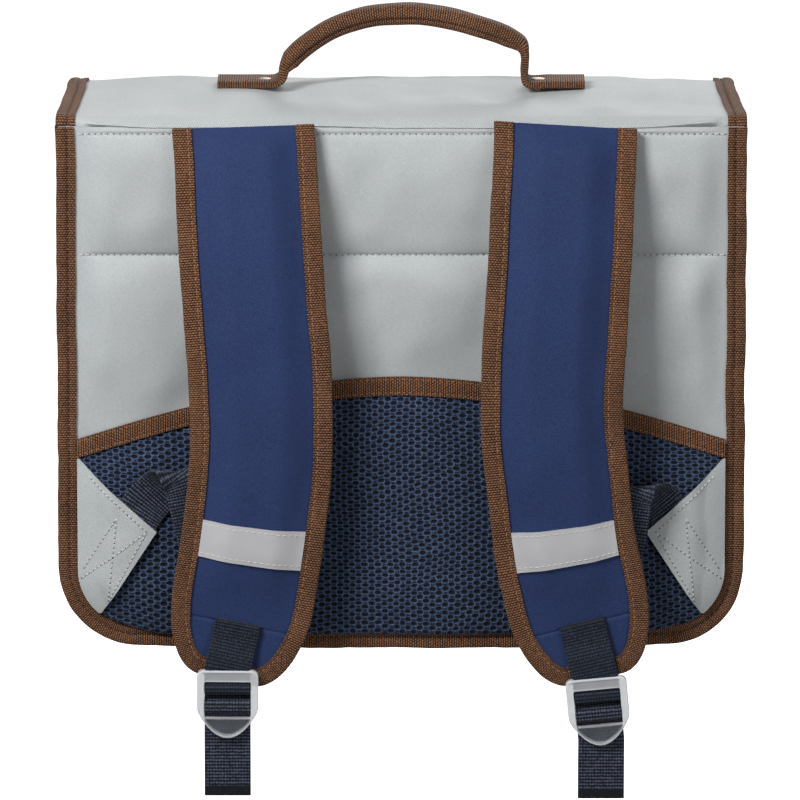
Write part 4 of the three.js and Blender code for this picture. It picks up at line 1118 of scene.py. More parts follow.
# Shoulder straps: foam wrapped in plain blue cloth, thin along the edges where the binding
# holds them and plump between. They leave the top seam and stand off the back on their way down.
strap_width = 78.5
strap_drop = 303.6
strap_spread = 85.0
strap_stand_off = 36.0
strap_rim = 4.5
strap_crown = 6.0
strap_crown_rise = 20.0
strap_end_length = 50.0
strap_end_flat = 30.0
strap_seam = 32.0
root_rise = {-1: (-0.65, 0.032), 1: (-1.45, 0.019)}
root_fade = 45.0
strap_table = {
    "down": [0, 0.04, 0.12, 0.22, 0.33, 0.44, 0.52, 0.6, 0.69, 0.77, 0.84, 0.92, 1],
    "left": [1.015, 1.005, 0.99, 0.969, 0.94, 0.91, 0.902, 0.909, 0.941, 0.979, 1.02, 1.077, 1.145],
    "right": [1.061, 1.055, 1.042, 1.024, 0.999, 0.975, 0.973, 0.998, 1.033, 1.073, 1.125, 1.197,
              1.268],
    "out": [0.15, 0.28, 0.52, 0.73, 0.87, 0.95, 0.99, 1, 0.985, 0.96, 0.93, 0.9, 0.88],
}


def follow(table, place, column, at):
    """Smooth curve through one named column of a table: cubic pieces whose slope at a row is
    that of the chord between its neighbours."""
    x = np.array(table[place], dtype=float)
    y = np.array(table[column], dtype=float)
    before = np.maximum(np.arange(len(x)) - 1, 0)
    after = np.minimum(np.arange(len(x)) + 1, len(x) - 1)
    slope = (y[after] - y[before]) / (x[after] - x[before])
    i = np.clip(np.searchsorted(x, at, side="right") - 1, 0, len(x) - 2)
    span = x[i + 1] - x[i]
    t = np.clip((at - x[i]) / span, 0, 1)
    rest = 1 - t
    return (
        y[i] * (1 + 2 * t) * rest**2 + y[i + 1] * (3 - 2 * t) * t**2
        + slope[i] * span * t * rest**2 - slope[i + 1] * span * t**2 * rest
    )


class StrapPath:
    """Surface through the middle of a strap: u across it, s down it and h outwards from it."""

    def __init__(self, side):
        self.side = side
        down = np.linspace(0, 1, 241)
        column = "left" if side < 0 else "right"
        x = side * strap_spread * follow(strap_table, "down", column, down)
        out = strap_stand_off * follow(strap_table, "down", "out", down)
        self.line = on_back(x, panel_top - strap_drop * down, out)
        self.marks = walk(self.line)
        self.length = self.marks[-1]
        steep = np.gradient(self.line, axis=0)
        kernel = np.ones(7) / 7
        steep = np.stack([
            np.convolve(np.pad(steep[:, k], 3, mode="edge"), kernel, "valid") for k in range(3)
        ], axis=-1)
        self.down = steep / np.linalg.norm(steep, axis=1, keepdims=True)
        across = np.array([1.0, 0, 0]) - self.down * self.down[:, :1]
        self.across = across / np.linalg.norm(across, axis=1, keepdims=True)
        self.normal = np.cross(self.down, self.across)

    def at(self, s):
        """Point, down, across and normal at the distance s."""
        read = [self.line, self.down, self.across, self.normal]
        return [
            np.stack([np.interp(s, self.marks, part[:, k]) for k in range(3)], axis=-1)
            for part in read
        ]

    def place(self, u, s, h):
        """Point at u, s and h. Near its root the strap is drawn up to the seam at a slant."""
        u, s, h = np.broadcast_arrays(u, s, h)
        rise, slant = root_rise[self.side]
        s = s + (rise + slant * u) * (1 - smooth(s / root_fade))
        point, down, across, normal = self.at(s)
        past = np.minimum(s, 0)[..., None]
        return point + down * past + across * u[..., None] + normal * h[..., None]


def strap_half_width(from_end, inset=0.0):
    """Half width of a strap: an elliptical end with a flat foot."""
    reach = strap_end_length - inset
    past = np.maximum(0, 1 - np.maximum(0, from_end) / reach)
    corner = (strap_width - strap_end_flat) / 2 - inset
    return strap_end_flat / 2 + corner * np.sqrt(np.maximum(0, 1 - past**2))


def strap_padding(path, u, s):
    """Padding over the flat rim: nil under the binding, at the top seam and over the end."""
    from_end = path.length - s
    from_side = strap_half_width(from_end) - np.abs(u)
    return (
        strap_crown * smooth((from_side - tape_width - gap) / strap_crown_rise + 0.12)
        * smooth((from_end - strap_seam) / (2.4 * strap_crown_rise)) * smooth(s / strap_crown_rise + 0.1)
    )


blue_cloth = woven_cloth(
    "blue cloth", colour(50, 72, 122), colour(15, 28, 70), 1.3, 0.12, 0.72, 0.06
)
white_thread = thread_finish("white thread", colour(236, 234, 226), colour(200, 198, 192))
reflector_up = 79.0
reflector_width = 21.5
reflector_wall = 1.0
reflective = Finish("reflective cloth")
glint = reflective.noise(0.5, 1.0)
tone = reflective.noise(14.0, 2.0)
reflective_cloth = reflective.close(
    reflective.blend(glint * 0.4 + tone * 0.6, colour(192, 192, 195), colour(220, 220, 222)),
    0.42, glint, 0.04, {"Metallic": 0.15, "Specular IOR Level": 0.5},
)

strap_section = tape_section(strap_rim, tape_width, tape_width * 0.78, 0.35)
straps = {}
for name, side in (("left", -1), ("right", 1)):
    path = StrapPath(side)
    straps[name] = path
    top_stations = spread([0.0, path.length - strap_end_length], 3.0)
    end_stations = path.length - strap_end_length * np.linspace(1, 0, 26)[1:] ** 2
    fold_stations = path.length - strap_seam + np.linspace(-2.4, 2.4, 13)
    stations = np.unique(np.concatenate([top_stations, end_stations, fold_stations]))
    s = np.minimum(stations, path.length - seat)
    half = strap_half_width(path.length - seat - s, seat)
    share = np.sin(np.linspace(-math.pi / 2, math.pi / 2, 61))
    u = half[:, None] * share
    s_grid = np.broadcast_to(s[:, None], u.shape)
    swell = strap_padding(path, u, s_grid)
    ripple = 0.35 * smooth(swell / 3) * unevenness(u + 200 * side, s_grid, 60, 61)
    fold = 0.6 * np.exp(-(((path.length - s_grid - strap_seam) / 0.8) ** 2))
    front = path.place(u, s_grid, strap_rim / 2 + swell + ripple - fold)
    rear = path.place(u, s_grid, -strap_rim / 2 - swell / 3)
    strap = add_piece(
        f"strap_{name}_pad", slab(front, rear), both(np.stack([u, s_grid], axis=-1)),
        blue_cloth, [f"shoulder_strap_{name}"],
    )

    right = np.stack([strap_half_width(path.length - stations), stations], axis=-1)
    foot_u = np.linspace(right[-1, 0], -right[-1, 0], 17)[1:-1]
    foot = np.stack([foot_u, np.full_like(foot_u, path.length)], axis=-1)
    line = np.concatenate([right, foot, (right * [-1, 1])[::-1]])
    along = np.gradient(line, axis=0)
    along /= np.linalg.norm(along, axis=1, keepdims=True)
    out = np.stack([along[:, 1], -along[:, 0]], axis=-1)

    def on_rim(a, b, h, path=path):
        """Point of the strap at a across and b down, h over the flat rim's face."""
        return path.place(a, b, h + strap_rim / 2)

    shape, lay = fold_tape(line, -out if out[5, 0] < 0 else out, strap_section, on_rim, 70 + side)
    add_piece(f"strap_binding_{name}_tape", shape, lay, brown_tape, [f"strap_binding_{name}"])
    outward = -out if out[5, 0] < 0 else out
    sewn = line - outward * tape_width * 0.78
    rows = [row_on(on_rim, sewn[:, 0], sewn[:, 1], np.full(len(sewn), seat - 0.15))]
    sew(f"strap_binding_{name}_thread", rows, brown_thread, "tape", thick=0.3)

    # Reflective strip: a band of silver cloth across the strap, sewn along both long edges
    middle = path.length - reflector_up
    strip_half = strap_half_width(reflector_up) - tape_width - gap
    strip_u = np.linspace(-strip_half, strip_half, 41)
    strip_s = np.linspace(middle - reflector_width / 2, middle + reflector_width / 2, 15)[:, None]
    strip_h = strap_rim / 2 + strap_padding(path, strip_u, strip_s) + 2 * gap
    strip_lay = np.stack(np.broadcast_arrays(strip_u, strip_s), axis=-1)
    strip = add_piece(
        f"reflective_strip_{name}_cloth",
        slab(path.place(strip_u, strip_s, strip_h + reflector_wall), path.place(strip_u, strip_s, strip_h)),
        both(strip_lay), reflective_cloth, [f"reflective_strip_{name}"],
    )
    2 * strip_half / 1000
    rows = []
    for edge in (strip_s[0, 0] + 2.3, strip_s[-1, 0] - 2.3):
        h = strap_rim / 2 + strap_padding(path, strip_u, edge) + 2 * gap + reflector_wall + 0.05
        rows.append(row_on(path.place, strip_u, edge, h))
    sew(f"reflective_strip_{name}_thread", rows, white_thread, "reflective", thick=0.3, length=2.6)

# Webbing: dark navy nylon, woven in ribs across its width. A short web folded round the upper
# bar of each buckle is sewn on the strap's end; a longer one comes from under the corner patch,
# turns over behind the strap, goes round the buckle's lower bar and hangs free.
web_width = 25.4
tab_thickness = 1.3
tab_length = 34.0
loop_height = 33.0
buckle_width = 34.0
buckle_length = 38.5
buckle_thickness = 5.0
buckle_rail = 4.2
buckle_head = 6.5
buckle_tongue = 11.5
buckle_bar = 3.4
buckle_bar_clear = 2.2
buckle_cover = 1.6
rib_pitch = 1.83
rib_column = 1.6
buckle_lie = {
    "left": {"overlap": 7.0, "swing": 13.0, "tail_end": -77.5},
    "right": {"overlap": 2.5, "swing": 8.5, "tail_end": -79.2},
}
tab_bar_top = buckle_head + buckle_bar_clear
tab_bar_end = tab_bar_top + buckle_bar
window_end = buckle_length - buckle_tongue
web_bar_end = window_end - 2 * gap - web_thickness - buckle_bar_clear
web_bar_top = web_bar_end - buckle_bar
bar_back = gap
bar_front = buckle_thickness / 2


class BuckleFrame:
    """Frame of a buckle on the end of a strap: u across, w down from its top and h outwards.
    It is the strap's own end, turned by the swing towards plumb."""

    def __init__(self, path, lie):
        point, down, across, normal = (part[0] for part in path.at(np.array([path.length])))
        turn = -path.side * math.radians(lie["swing"])
        self.normal = normal
        self.down = down * math.cos(turn) + np.cross(normal, down) * math.sin(turn)
        self.across = np.cross(normal, self.down)
        self.lift = strap_rim / 2 + seat + gap + tab_thickness + gap / 2
        self.overlap = lie["overlap"]
        self.origin = point - down * self.overlap + normal * self.lift

    def place(self, u, w, h):
        """Point at u, w and h."""
        u, w, h = (np.asarray(part, dtype=float)[..., None] for part in np.broadcast_arrays(u, w, h))
        return self.origin + self.across * u + self.down * w + self.normal * h


def spline(points, across, pitch):
    """Centripetal cubic through the points, at an even pitch: each piece's end slopes weigh
    the neighbouring chords by the square roots of their lengths. across turns with it."""
    points = np.array(points)
    across = np.array(across)
    padded = np.concatenate([2 * points[:1] - points[1:2], points, 2 * points[-1:] - points[-2:-1]])
    root = np.linalg.norm(np.diff(padded, axis=0), axis=1)[:, None] ** 0.5
    fine = np.linspace(0, 1, 25)[:-1, None, None]
    p0, p1, p2, p3 = padded[:-3], padded[1:-2], padded[2:-1], padded[3:]
    d0, d1, d2 = root[:-2], root[1:-1], root[2:]
    leave = ((p1 - p0) / d0 - (p2 - p0) / (d0 + d1) + (p2 - p1) / d1) * d1
    reach = ((p2 - p1) / d1 - (p3 - p1) / (d1 + d2) + (p3 - p2) / d2) * d1
    cubic = (
        p1 + leave * fine + (3 * (p2 - p1) - 2 * leave - reach) * fine**2
        + (2 * (p1 - p2) + leave + reach) * fine**3
    )
    turned = across[:-1] * (1 - fine) + across[1:] * fine
    line = np.concatenate([cubic.transpose(1, 0, 2).reshape(-1, 3), points[-1:]])
    lie = np.concatenate([turned.transpose(1, 0, 2).reshape(-1, 3), across[-1:]])
    marks = walk(line)
    even = np.linspace(0, marks[-1], math.ceil(marks[-1] / pitch) + 1)
    line, lie = (
        np.stack([np.interp(even, marks, part[:, k]) for k in range(3)], axis=-1)
        for part in (line, lie)
    )
    along = np.gradient(line, axis=0)
    along /= np.linalg.norm(along, axis=1, keepdims=True)
    lie = lie - along * np.sum(lie * along, axis=1, keepdims=True)
    lie /= np.linalg.norm(lie, axis=1, keepdims=True)
    return line, lie, np.cross(along, lie), even


def rib_relief(across, along):
    """Ribs over the web's width, each swelling between the warp columns, 0 to 1."""
    rib = np.abs(np.sin(math.pi * along / rib_pitch)) ** 0.8
    column = 0.5 + 0.5 * np.cos(2 * math.pi * across / rib_column)
    return rib * (0.7 + 0.3 * column)


def woven_web(points, across, width, thickness, hem=0.0):
    """Ribbed web along points: ribs on both faces, thin soft selvedges, and where it is cut a
    flat sealed hem."""
    line, lie, normal, along = spline(points, across, rib_pitch / 4)
    edge = np.linspace(-1, 1, 27)
    u = (width / 2 + 0.1) * np.sign(edge) * np.abs(edge) ** 0.94
    soft = smooth((width / 2 - np.abs(u)) / 0.9 + 0.3)
    open_end = smooth((along[-1] - along - hem) / 1.2) if hem else np.ones_like(along)
    ribs = rib_relief(u[None, :], along[:, None]) * open_end[:, None]
    half = (thickness / 2 - 0.12) * (0.45 + 0.55 * soft) + 0.3 * soft * ribs
    grid = line[:, None] + lie[:, None] * u[None, :, None]
    ribbed = np.where(along < along[-1] - hem, along, 0)
    lay = np.stack(np.broadcast_arrays(u[None, :], ribbed[:, None]), axis=-1)
    lift = normal[:, None] * half[..., None]
    return slab(grid + lift, grid - lift), both(lay)


def ribbed_webbing(name, dark, light):
    """Webbing: ribs whose tops are painted light over dark gaps, a painted highlight and painted shade, in
    columns and worn unevenly.
    """
    webbing = Finish(name)
    across, along = webbing.lay()
    rib = (along * (math.pi / rib_pitch)).sine().size()
    column = (across * (2 * math.pi / rib_column)).sine() * 0.5 + 0.5
    fuzz = webbing.noise(1.2, 2.0)
    # Rib tops painted light and the gaps dark: painted highlight and painted shade
    share = rib * rib * (column * 0.5 + 0.5) + fuzz * 1.5 - 0.98
    return webbing.close(
        webbing.blend(share, dark, light), 0.7, column * 0.5 + fuzz * 0.5, 0.15, {
            "Sheen Weight": 0.1, "Sheen Roughness": 0.5, "Specular IOR Level": 0.3,
        },
    )


navy_webbing = ribbed_webbing("navy webbing", colour(8, 12, 22), colour(100, 110, 137))
# The tabs take a darker, duller copy of the same webbing: painted shade
shaded_tab_webbing = ribbed_webbing("shaded tab webbing", colour(9, 16, 27), colour(58, 71, 94))
navy_thread = thread_finish("navy thread", colour(58, 64, 84), colour(26, 30, 44))


def round_bar(start, end, clear):
    """Points (w, h) of a web's turn round the lower side of a bar, from front to back."""
    soft = clear * 0.72
    return [
        (start + 0.8, bar_front + clear), (end - 0.2, bar_front + clear),
        (end + soft, bar_front + soft), (end + clear, (bar_front + bar_back) / 2),
    ]


web_table = {
    "left": {
        "along": [-0.08, -0, 0.088, 0.178, 0.243, 0.301, 0.349, 0.384, 0.428, 0.471, 0.506, 0.57, 0.64,
            0.704],
        "up": [-0.3, 0.001, 0.238, 0.42, 0.548, 0.676, 0.801, 0.878, 0.817, 0.625, 0.334, -0.178,
            -0.804, -1.327],
        "out": [0, 0, 0.02, 0.06, 0.14, 0.31, 0.59, 0.87, 1.01, 1.01, 0.95, 0.82, 0.74, 0.72],
        "turn": [-38, -38, -34, -28, -22, -14, -4, 5, 10, 12, 13, 13, 13, 12],
    },
    "right": {
        "along": [-0.131, -0.052, 0.016, 0.089, 0.165, 0.236, 0.289, 0.316, 0.339, 0.356, 0.381, 0.437,
            0.518],
        "up": [-0.303, -0.03, 0.151, 0.297, 0.437, 0.554, 0.601, 0.534, 0.385, 0.165, -0.209, -0.756,
            -1.344],
        "out": [0, 0, 0.02, 0.1, 0.28, 0.59, 0.87, 1.01, 1.01, 0.97, 0.87, 0.77, 0.72],
        "turn": [-34, -34, -30, -23, -13, -4, 2, 5, 7, 8, 10, 12, 12],
    },
}


def adjuster_route(name, path, buckle):
    """Points of an adjuster web and the lie of its width at each."""
    side = path.side
    root_x = panel_edge - patch_reach * 0.76
    root_z = patch_tip + patch_dip * 2
    seated = float(mesh_swell(root_x, root_z)) + gap + web_thickness / 2
    room = strap_stand_off - strap_rim / 2 - seat - gap - web_thickness - seated
    reach = root_x - strap_spread
    rows = {column: np.array(values, dtype=float) for column, values in web_table[name].items()}
    loose = on_back(
        side * (root_x - reach * rows["along"]), root_z + loop_height * rows["up"],
        seated + room * rows["out"],
    )
    angle = np.radians(rows["turn"])
    lies = np.stack([np.cos(angle), 0 * angle, -side * np.sin(angle)], axis=-1)
    behind = -buckle.lift - strap_rim / 2 - seat - gap - web_thickness
    clear = gap + web_thickness / 2 + 0.15
    soft = clear * 0.72
    threaded = np.array([
        (-buckle.overlap, behind - 2.5), (buckle.overlap / 2 + 1.5, behind - 1.6),
        (web_bar_top - 5, behind / 2 - 1), (web_bar_top - clear - 0.4, -1),
        (web_bar_top - clear, bar_front - 0.6), (web_bar_top - soft + 0.3, bar_front + soft),
        *round_bar(web_bar_top, web_bar_end, clear),
        (window_end - clear - 0.2, 0), (window_end - soft, -soft), (window_end + 0.6, -clear),
        (window_end + buckle_tongue / 2, -clear), (buckle_length - buckle_tongue / 4, -clear),
    ])
    held = buckle.place(0.0, threaded[:, 0], threaded[:, 1])
    tail = np.repeat(held[-1:], 3, axis=0)
    tail[:, 2] = np.linspace(held[-1, 2], buckle_lie[name]["tail_end"], 4)[1:]
    points = np.concatenate([loose, held, tail])
    lies = np.concatenate([
        lies, np.repeat(buckle.across[None], len(held), axis=0), np.tile([1.0, 0, 0], (3, 1)),
    ])
    return points, lies


def tab_route(path, buckle):
    """Points of the short web: its upper layer, its turn round the bar and its lower layer."""
    end_across = path.at(np.array([path.length]))[2][0]
    back = buckle.lift - gap / 2 - tab_thickness / 2
    layer = tab_thickness + gap
    behind = -gap / 2 - tab_thickness / 2
    clear = gap + tab_thickness / 2 + 0.2
    low = strap_rim / 2 + gap + tab_thickness / 2
    strap_part = np.array([
        (tab_length, low + layer), (tab_length * 0.65, low + layer), (tape_width + 4, back + layer),
    ])
    buckle_part = np.array([
        (1, behind + layer + gap), (buckle_head - 1, behind + layer + gap),
        (tab_bar_top - clear, bar_front), *round_bar(tab_bar_top, tab_bar_end, clear),
        (tab_bar_end + clear * 0.72, bar_back - clear * 0.72),
        (tab_bar_end - 0.6, behind), (tab_bar_top, behind), (1, behind),
    ])
    return_part = np.array([(tape_width + 4, back), (tab_length * 0.65, low), (tab_length, low)])
    points = np.concatenate([
        path.place(0.0, path.length - strap_part[:, 0], strap_part[:, 1]),
        buckle.place(0.0, buckle_part[:, 0], buckle_part[:, 1]),
        path.place(0.0, path.length - return_part[:, 0], return_part[:, 1]),
    ])
    lies = np.concatenate([
        np.repeat(end_across[None], 3, axis=0),
        np.repeat(buckle.across[None], len(buckle_part), axis=0),
        np.repeat(end_across[None], 3, axis=0),
    ])
    return points, lies


buckles = {}
for name, path in straps.items():
    buckle = BuckleFrame(path, buckle_lie[name])
    buckles[name] = buckle
    shape, lay = woven_web(*adjuster_route(name, path, buckle), web_width, web_thickness, 5.5)
    add_piece(f"adjuster_web_{name}_woven", shape, lay, navy_webbing,
              [f"adjuster_web_{name}"], crease=70)
    shape, lay = woven_web(*tab_route(path, buckle), web_width, tab_thickness)
    add_piece(f"web_tab_{name}_woven", shape, lay, shaded_tab_webbing,
              [f"web_tab_{name}"], crease=70)

    # Box of stitches that holds the tab: its four sides and its two diagonals
    far, near, wide = tab_length - 2.6, tape_width + 3.5, web_width / 2 - 2.4
    level = strap_rim / 2 + 2 * gap + 2 * tab_thickness + 0.3
    box = [(-wide, far), (wide, far), (wide, near), (-wide, near)]
    rows = []
    for (u0, s0), (u1, s1) in [*zip(box, box[1:] + box[:1]), (box[0], box[2]), (box[1], box[3])]:
        t = np.linspace(0, 1, 16)
        s = path.length - (s0 + (s1 - s0) * t)
        rise = 1.5 * smooth((tape_width + 12 - (path.length - s)) / 9)
        rows.append(row_on(path.place, u0 + (u1 - u0) * t, s, level + rise))
    sew(f"web_tab_{name}_thread", rows, navy_thread, "webbing", pitch=2.6, length=1.9, thick=0.24)

# Buckles: ladder-lock frames moulded in frosted, half clear plastic. A cover plate hides the
# tab's turn, two bars cross the window and the tongue below it has a raised rim.
frosted = Finish("frosted plastic")
haze = frosted.noise(9.0, 3.0)
grain = frosted.noise(0.6, 2.0)
frost = frosted.lay()[0]
# Colour runs with the frost mask from dark to near white: frosting plus painted highlight and shade
frosted_plastic = frosted.close(
    frosted.blend(haze * 0.2 + frost * 1.3 - 0.1, colour(80, 85, 95), colour(236, 239, 243)),
    grain * 0.15 + 0.25, grain, 0.03, {"Alpha": frost * 0.4 + 0.42, "Specular IOR Level": 0.5},
)
tongue_shape = {"shoulder": (1, -0.2), "side": (0.7, 0.35), "tip": (0, 1.65)}
shoulder_rise = 6.0


def curve_through(start, pull, end, count):
    """Quadratic curve from start to end, drawn towards pull."""
    t = np.linspace(0, 1, count + 1)[:-1, None]
    return np.array(start) * (1 - t) ** 2 + 2 * np.array(pull) * t * (1 - t) + np.array(end) * t**2


def straight(start, end, count):
    """Even points from start to just before end."""
    return curve_through(start, (np.array(start) + np.array(end)) / 2, end, count)


half_buckle = buckle_width / 2
tongue_at = {
    key: (half_buckle * across, window_end + buckle_tongue * past)
    for key, (across, past) in tongue_shape.items()
}
flip = np.array([-1.0, 1.0])
corner = buckle_rail
right_side = np.concatenate([
    straight((0, 0), (half_buckle - corner, 0), 14),
    curve_through((half_buckle - corner, 0), (half_buckle, 0), (half_buckle, corner), 8),
    straight((half_buckle, corner), (half_buckle, window_end - shoulder_rise), 26),
    curve_through((half_buckle, window_end - shoulder_rise), tongue_at["shoulder"], tongue_at["side"], 14),
    curve_through(tongue_at["side"], tongue_at["tip"], np.array(tongue_at["side"]) * flip, 24)[:12],
])
tip = curve_through(tongue_at["side"], tongue_at["tip"], np.array(tongue_at["side"]) * flip, 24)[12]
outer_loop = np.concatenate([right_side, tip[None], (right_side * flip)[:0:-1]])
window_half = half_buckle - buckle_rail
window_corner = 1.2
window_side = np.concatenate([
    straight((0, buckle_head), (window_half - window_corner, buckle_head), 14),
    curve_through(
        (window_half - window_corner, buckle_head), (window_half, buckle_head),
        (window_half, buckle_head + window_corner), 8,
    ),
    straight((window_half, buckle_head + window_corner), (window_half, window_end - window_corner), 26),
    curve_through(
        (window_half, window_end - window_corner), (window_half, window_end),
        (window_half - window_corner, window_end), 14,
    ),
    straight((window_half - window_corner, window_end), (0, window_end), 12),
])
window_loop = np.concatenate([
    window_side, np.array([[0.0, window_end]]), (window_side * flip)[:0:-1],
])
ring_share = np.concatenate([[0.0], np.linspace(0.03, 0.97, 22), [1.0]])
plate = outer_loop[:, None] + (window_loop - outer_loop)[:, None] * ring_share[None, :, None]
from_outer = np.linalg.norm(plate - plate[:, :1], axis=-1)
from_window = np.linalg.norm(plate - plate[:, -1:], axis=-1)
bevel = 0.7
near_edge = np.minimum(from_outer, from_window)
roll_off = bevel * (1 - np.sqrt(1 - (1 - np.clip(near_edge / bevel, 0, 1)) ** 2))
on_tongue = smooth((plate[..., 1] - window_end + 1.0) / 2.0)
recess = 1.3 * on_tongue * smooth((from_outer - 1.5) / 0.7) * smooth(from_window / 0.6 + 0.4)
head_dish = 0.35 * smooth((buckle_head - plate[..., 1]) / 1.5) * smooth((from_outer - 0.9) / 0.8)
under_cover = smooth((window_half - np.abs(plate[..., 0])) / 0.5)
under_cover = under_cover * smooth((buckle_head + 0.5 - plate[..., 1]) / 0.5)
plate_top = buckle_thickness - roll_off - recess - head_dish * under_cover
plate_low = roll_off * 0.6 + under_cover * (buckle_thickness - buckle_cover)
plate_low = np.minimum(plate_low, plate_top - 0.4)

# Frost shows most along the rims, less on the rails and the cover, least in the tongue's recess:
# partly the plastic's frosting, partly painted highlight on the rims and painted shade in the recess
rim_frost_and_highlight = np.maximum(smooth((1.5 - from_outer) / 0.6), 0.8 * smooth((1.1 - from_window) / 0.5))
beside_web = 0.7 * smooth((np.abs(plate[..., 0]) - web_width / 2 + 1) / 1.5)
rim_frost_and_highlight = np.maximum(rim_frost_and_highlight, beside_web)
plate_frost_and_light = np.maximum(rim_frost_and_highlight, 0.72 - 0.22 * under_cover - 0.65 * on_tongue)


def ring_solid(top, under):
    """Closed solid of a ring: grids that wrap in their first direction, joined at both rims."""
    n, m = top.shape[:2]
    loop = np.concatenate([top, under[:, ::-1]], axis=1)
    grid = np.arange(n * 2 * m).reshape(n, 2 * m)
    ahead = np.roll(grid, -1, axis=0)
    turned, turned_ahead = np.roll(grid, -1, axis=1), np.roll(ahead, -1, axis=1)
    faces = np.stack([grid, turned, turned_ahead, ahead], axis=-1).reshape(-1, 4)
    return loop.reshape(-1, 3), [faces]


def rod(rings):
    """Closed solid through rings of points, with a fan over each end."""
    n, m = rings.shape[:2]
    grid = np.arange(n * m).reshape(n, m)
    turned = np.roll(grid, -1, axis=1)
    side = np.stack([grid[:-1], turned[:-1], turned[1:], grid[1:]], axis=-1).reshape(-1, 4)
    ends = np.stack([rings[0].mean(axis=0), rings[-1].mean(axis=0)])
    first = np.stack([turned[0], grid[0], np.full(m, n * m)], axis=-1)
    last = np.stack([grid[-1], turned[-1], np.full(m, n * m + 1)], axis=-1)
    return np.concatenate([rings.reshape(-1, 3), ends]), [side, first, last]


def joined(shapes):
    """Several closed shapes as one."""
    points, faces, first = [], [], 0
    for shape_points, shape_faces in shapes:
        points.append(shape_points)
        faces.extend(part + first for part in shape_faces)
        first += len(shape_points)
    return np.concatenate(points), faces


def outward(shape):
    """The shape with its faces turned outwards."""
    points, faces = shape
    if enclosed(points, faces) < 0:
        faces = [part[:, ::-1] for part in faces]
    return points, faces


bar_turn = np.arange(16) * math.pi / 8
for name, buckle in buckles.items():
    shapes = [outward(ring_solid(
        buckle.place(plate[..., 0], plate[..., 1], plate_top),
        buckle.place(plate[..., 0], plate[..., 1], plate_low),
    ))]
    for start, end in ((tab_bar_top, tab_bar_end), (web_bar_top, web_bar_end)):
        u = np.linspace(-window_half - 0.6, window_half + 0.6, 9)[:, None]
        c, s = np.cos(bar_turn), np.sin(bar_turn)
        w = (start + end) / 2 + (end - start) / 2 * np.sign(c) * np.abs(c) ** 0.7
        h = (bar_back + bar_front) / 2 + (bar_front - bar_back) / 2 * np.sign(s) * np.abs(s) ** 0.7
        shapes.append(outward(rod(buckle.place(u, w[None, :], h[None, :]))))
    shape = joined(shapes)
    frost_and_light_lay = np.full((len(shape[0]), 2), 0.4)
    rings_frost_and_light = np.concatenate([plate_frost_and_light, plate_frost_and_light[:, ::-1]], axis=1).reshape(-1)
    frost_and_light_lay[:len(rings_frost_and_light), 0] = rings_frost_and_light
    add_piece(f"buckle_{name}_frame", shape, frost_and_light_lay, frosted_plastic,
              [f"buckle_{name}"], crease=50)

# Handle: brown ribbed web, flat where its feet are riveted to the flap and folded round a core
# into a grip between them. The fold's edge shows as a crease low on the side of the grip.
handle_span = 204.0
handle_rise = 38.2
foot_width = 25.0
foot_thickness = 4.4
grip_width = 15.0
grip_thickness = 11.5
rivet_share = 0.745
rivet_head = 8.0
rivet_dome = 0.7
rivet_sink = 0.6
rivet_forward = 3.0
flap_peak = on_settled_flap(0.0, (flap_marks[2] + flap_marks[3]) / 2, 0.0)
foot_middle = flap_peak[2] + gap + foot_thickness / 2
handle_table = {
    "across": [-1, -0.8, -0.685, -0.65, -0.636, -0.6, -0.515, -0.377, -0.212, 0, 0.16, 0.31, 0.45,
               0.575, 0.655, 0.672, 0.675, 0.672, 0.685, 0.82, 1],
    "up": [0, 0, 0.01, 0.07, 0.2, 0.33, 0.535, 0.774, 0.935, 1, 0.975, 0.9, 0.79, 0.67, 0.55, 0.44,
           0.3, 0.12, 0.01, 0, 0],
    "wide": [0, 0, 0, 0.35, 0.7, 0.95, 1, 1, 1, 1, 1, 1, 1, 1, 0.9, 0.6, 0.35, 0.1, 0, 0, 0],
    "thick": [0, 0, 0, 0.1, 0.25, 0.9, 1, 1, 1, 1, 1, 1, 1, 0.95, 0.55, 0.12, 0, 0, 0, 0, 0],
}
handle_rows = {column: np.array(values, dtype=float) for column, values in handle_table.items()}
handle_points = np.stack([
    handle_rows["across"] * handle_span / 2, np.full(len(handle_rows["up"]), flap_peak[1]),
    foot_middle + handle_rows["up"] * handle_rise,
], axis=-1)
handle_lie = np.tile([0.0, 1.0, 0.0], (len(handle_points), 1))
handle_line, handle_across, handle_normal, handle_along = spline(handle_points, handle_lie, 0.9)
row_marks = np.interp(
    np.linalg.norm(handle_points[:, None] - handle_line[None], axis=-1).argmin(axis=1),
    np.arange(len(handle_along)), handle_along,
)
wide = np.interp(handle_along, row_marks, handle_rows["wide"])
thick = np.interp(handle_along, row_marks, handle_rows["thick"])
handle_half = (foot_width + (grip_width - foot_width) * wide) / 2
handle_deep = (foot_thickness + (grip_thickness - foot_thickness) * thick) / 2
flank = np.linspace(-0.94, 0.94, 33)
crown = np.linspace(0.42, -0.42, 9)


def rounded(power):
    """Section |y|^power + |n|^power = 1 of the web, from y and n of -1 to 1."""
    flank_y = (1 - np.abs(flank) ** power) ** (1 / power)
    crown_n = (1 - np.abs(crown) ** power) ** (1 / power)
    y = np.concatenate([flank_y, crown, -flank_y, -crown])
    return y, np.concatenate([flank, crown_n, flank[::-1], -crown_n])


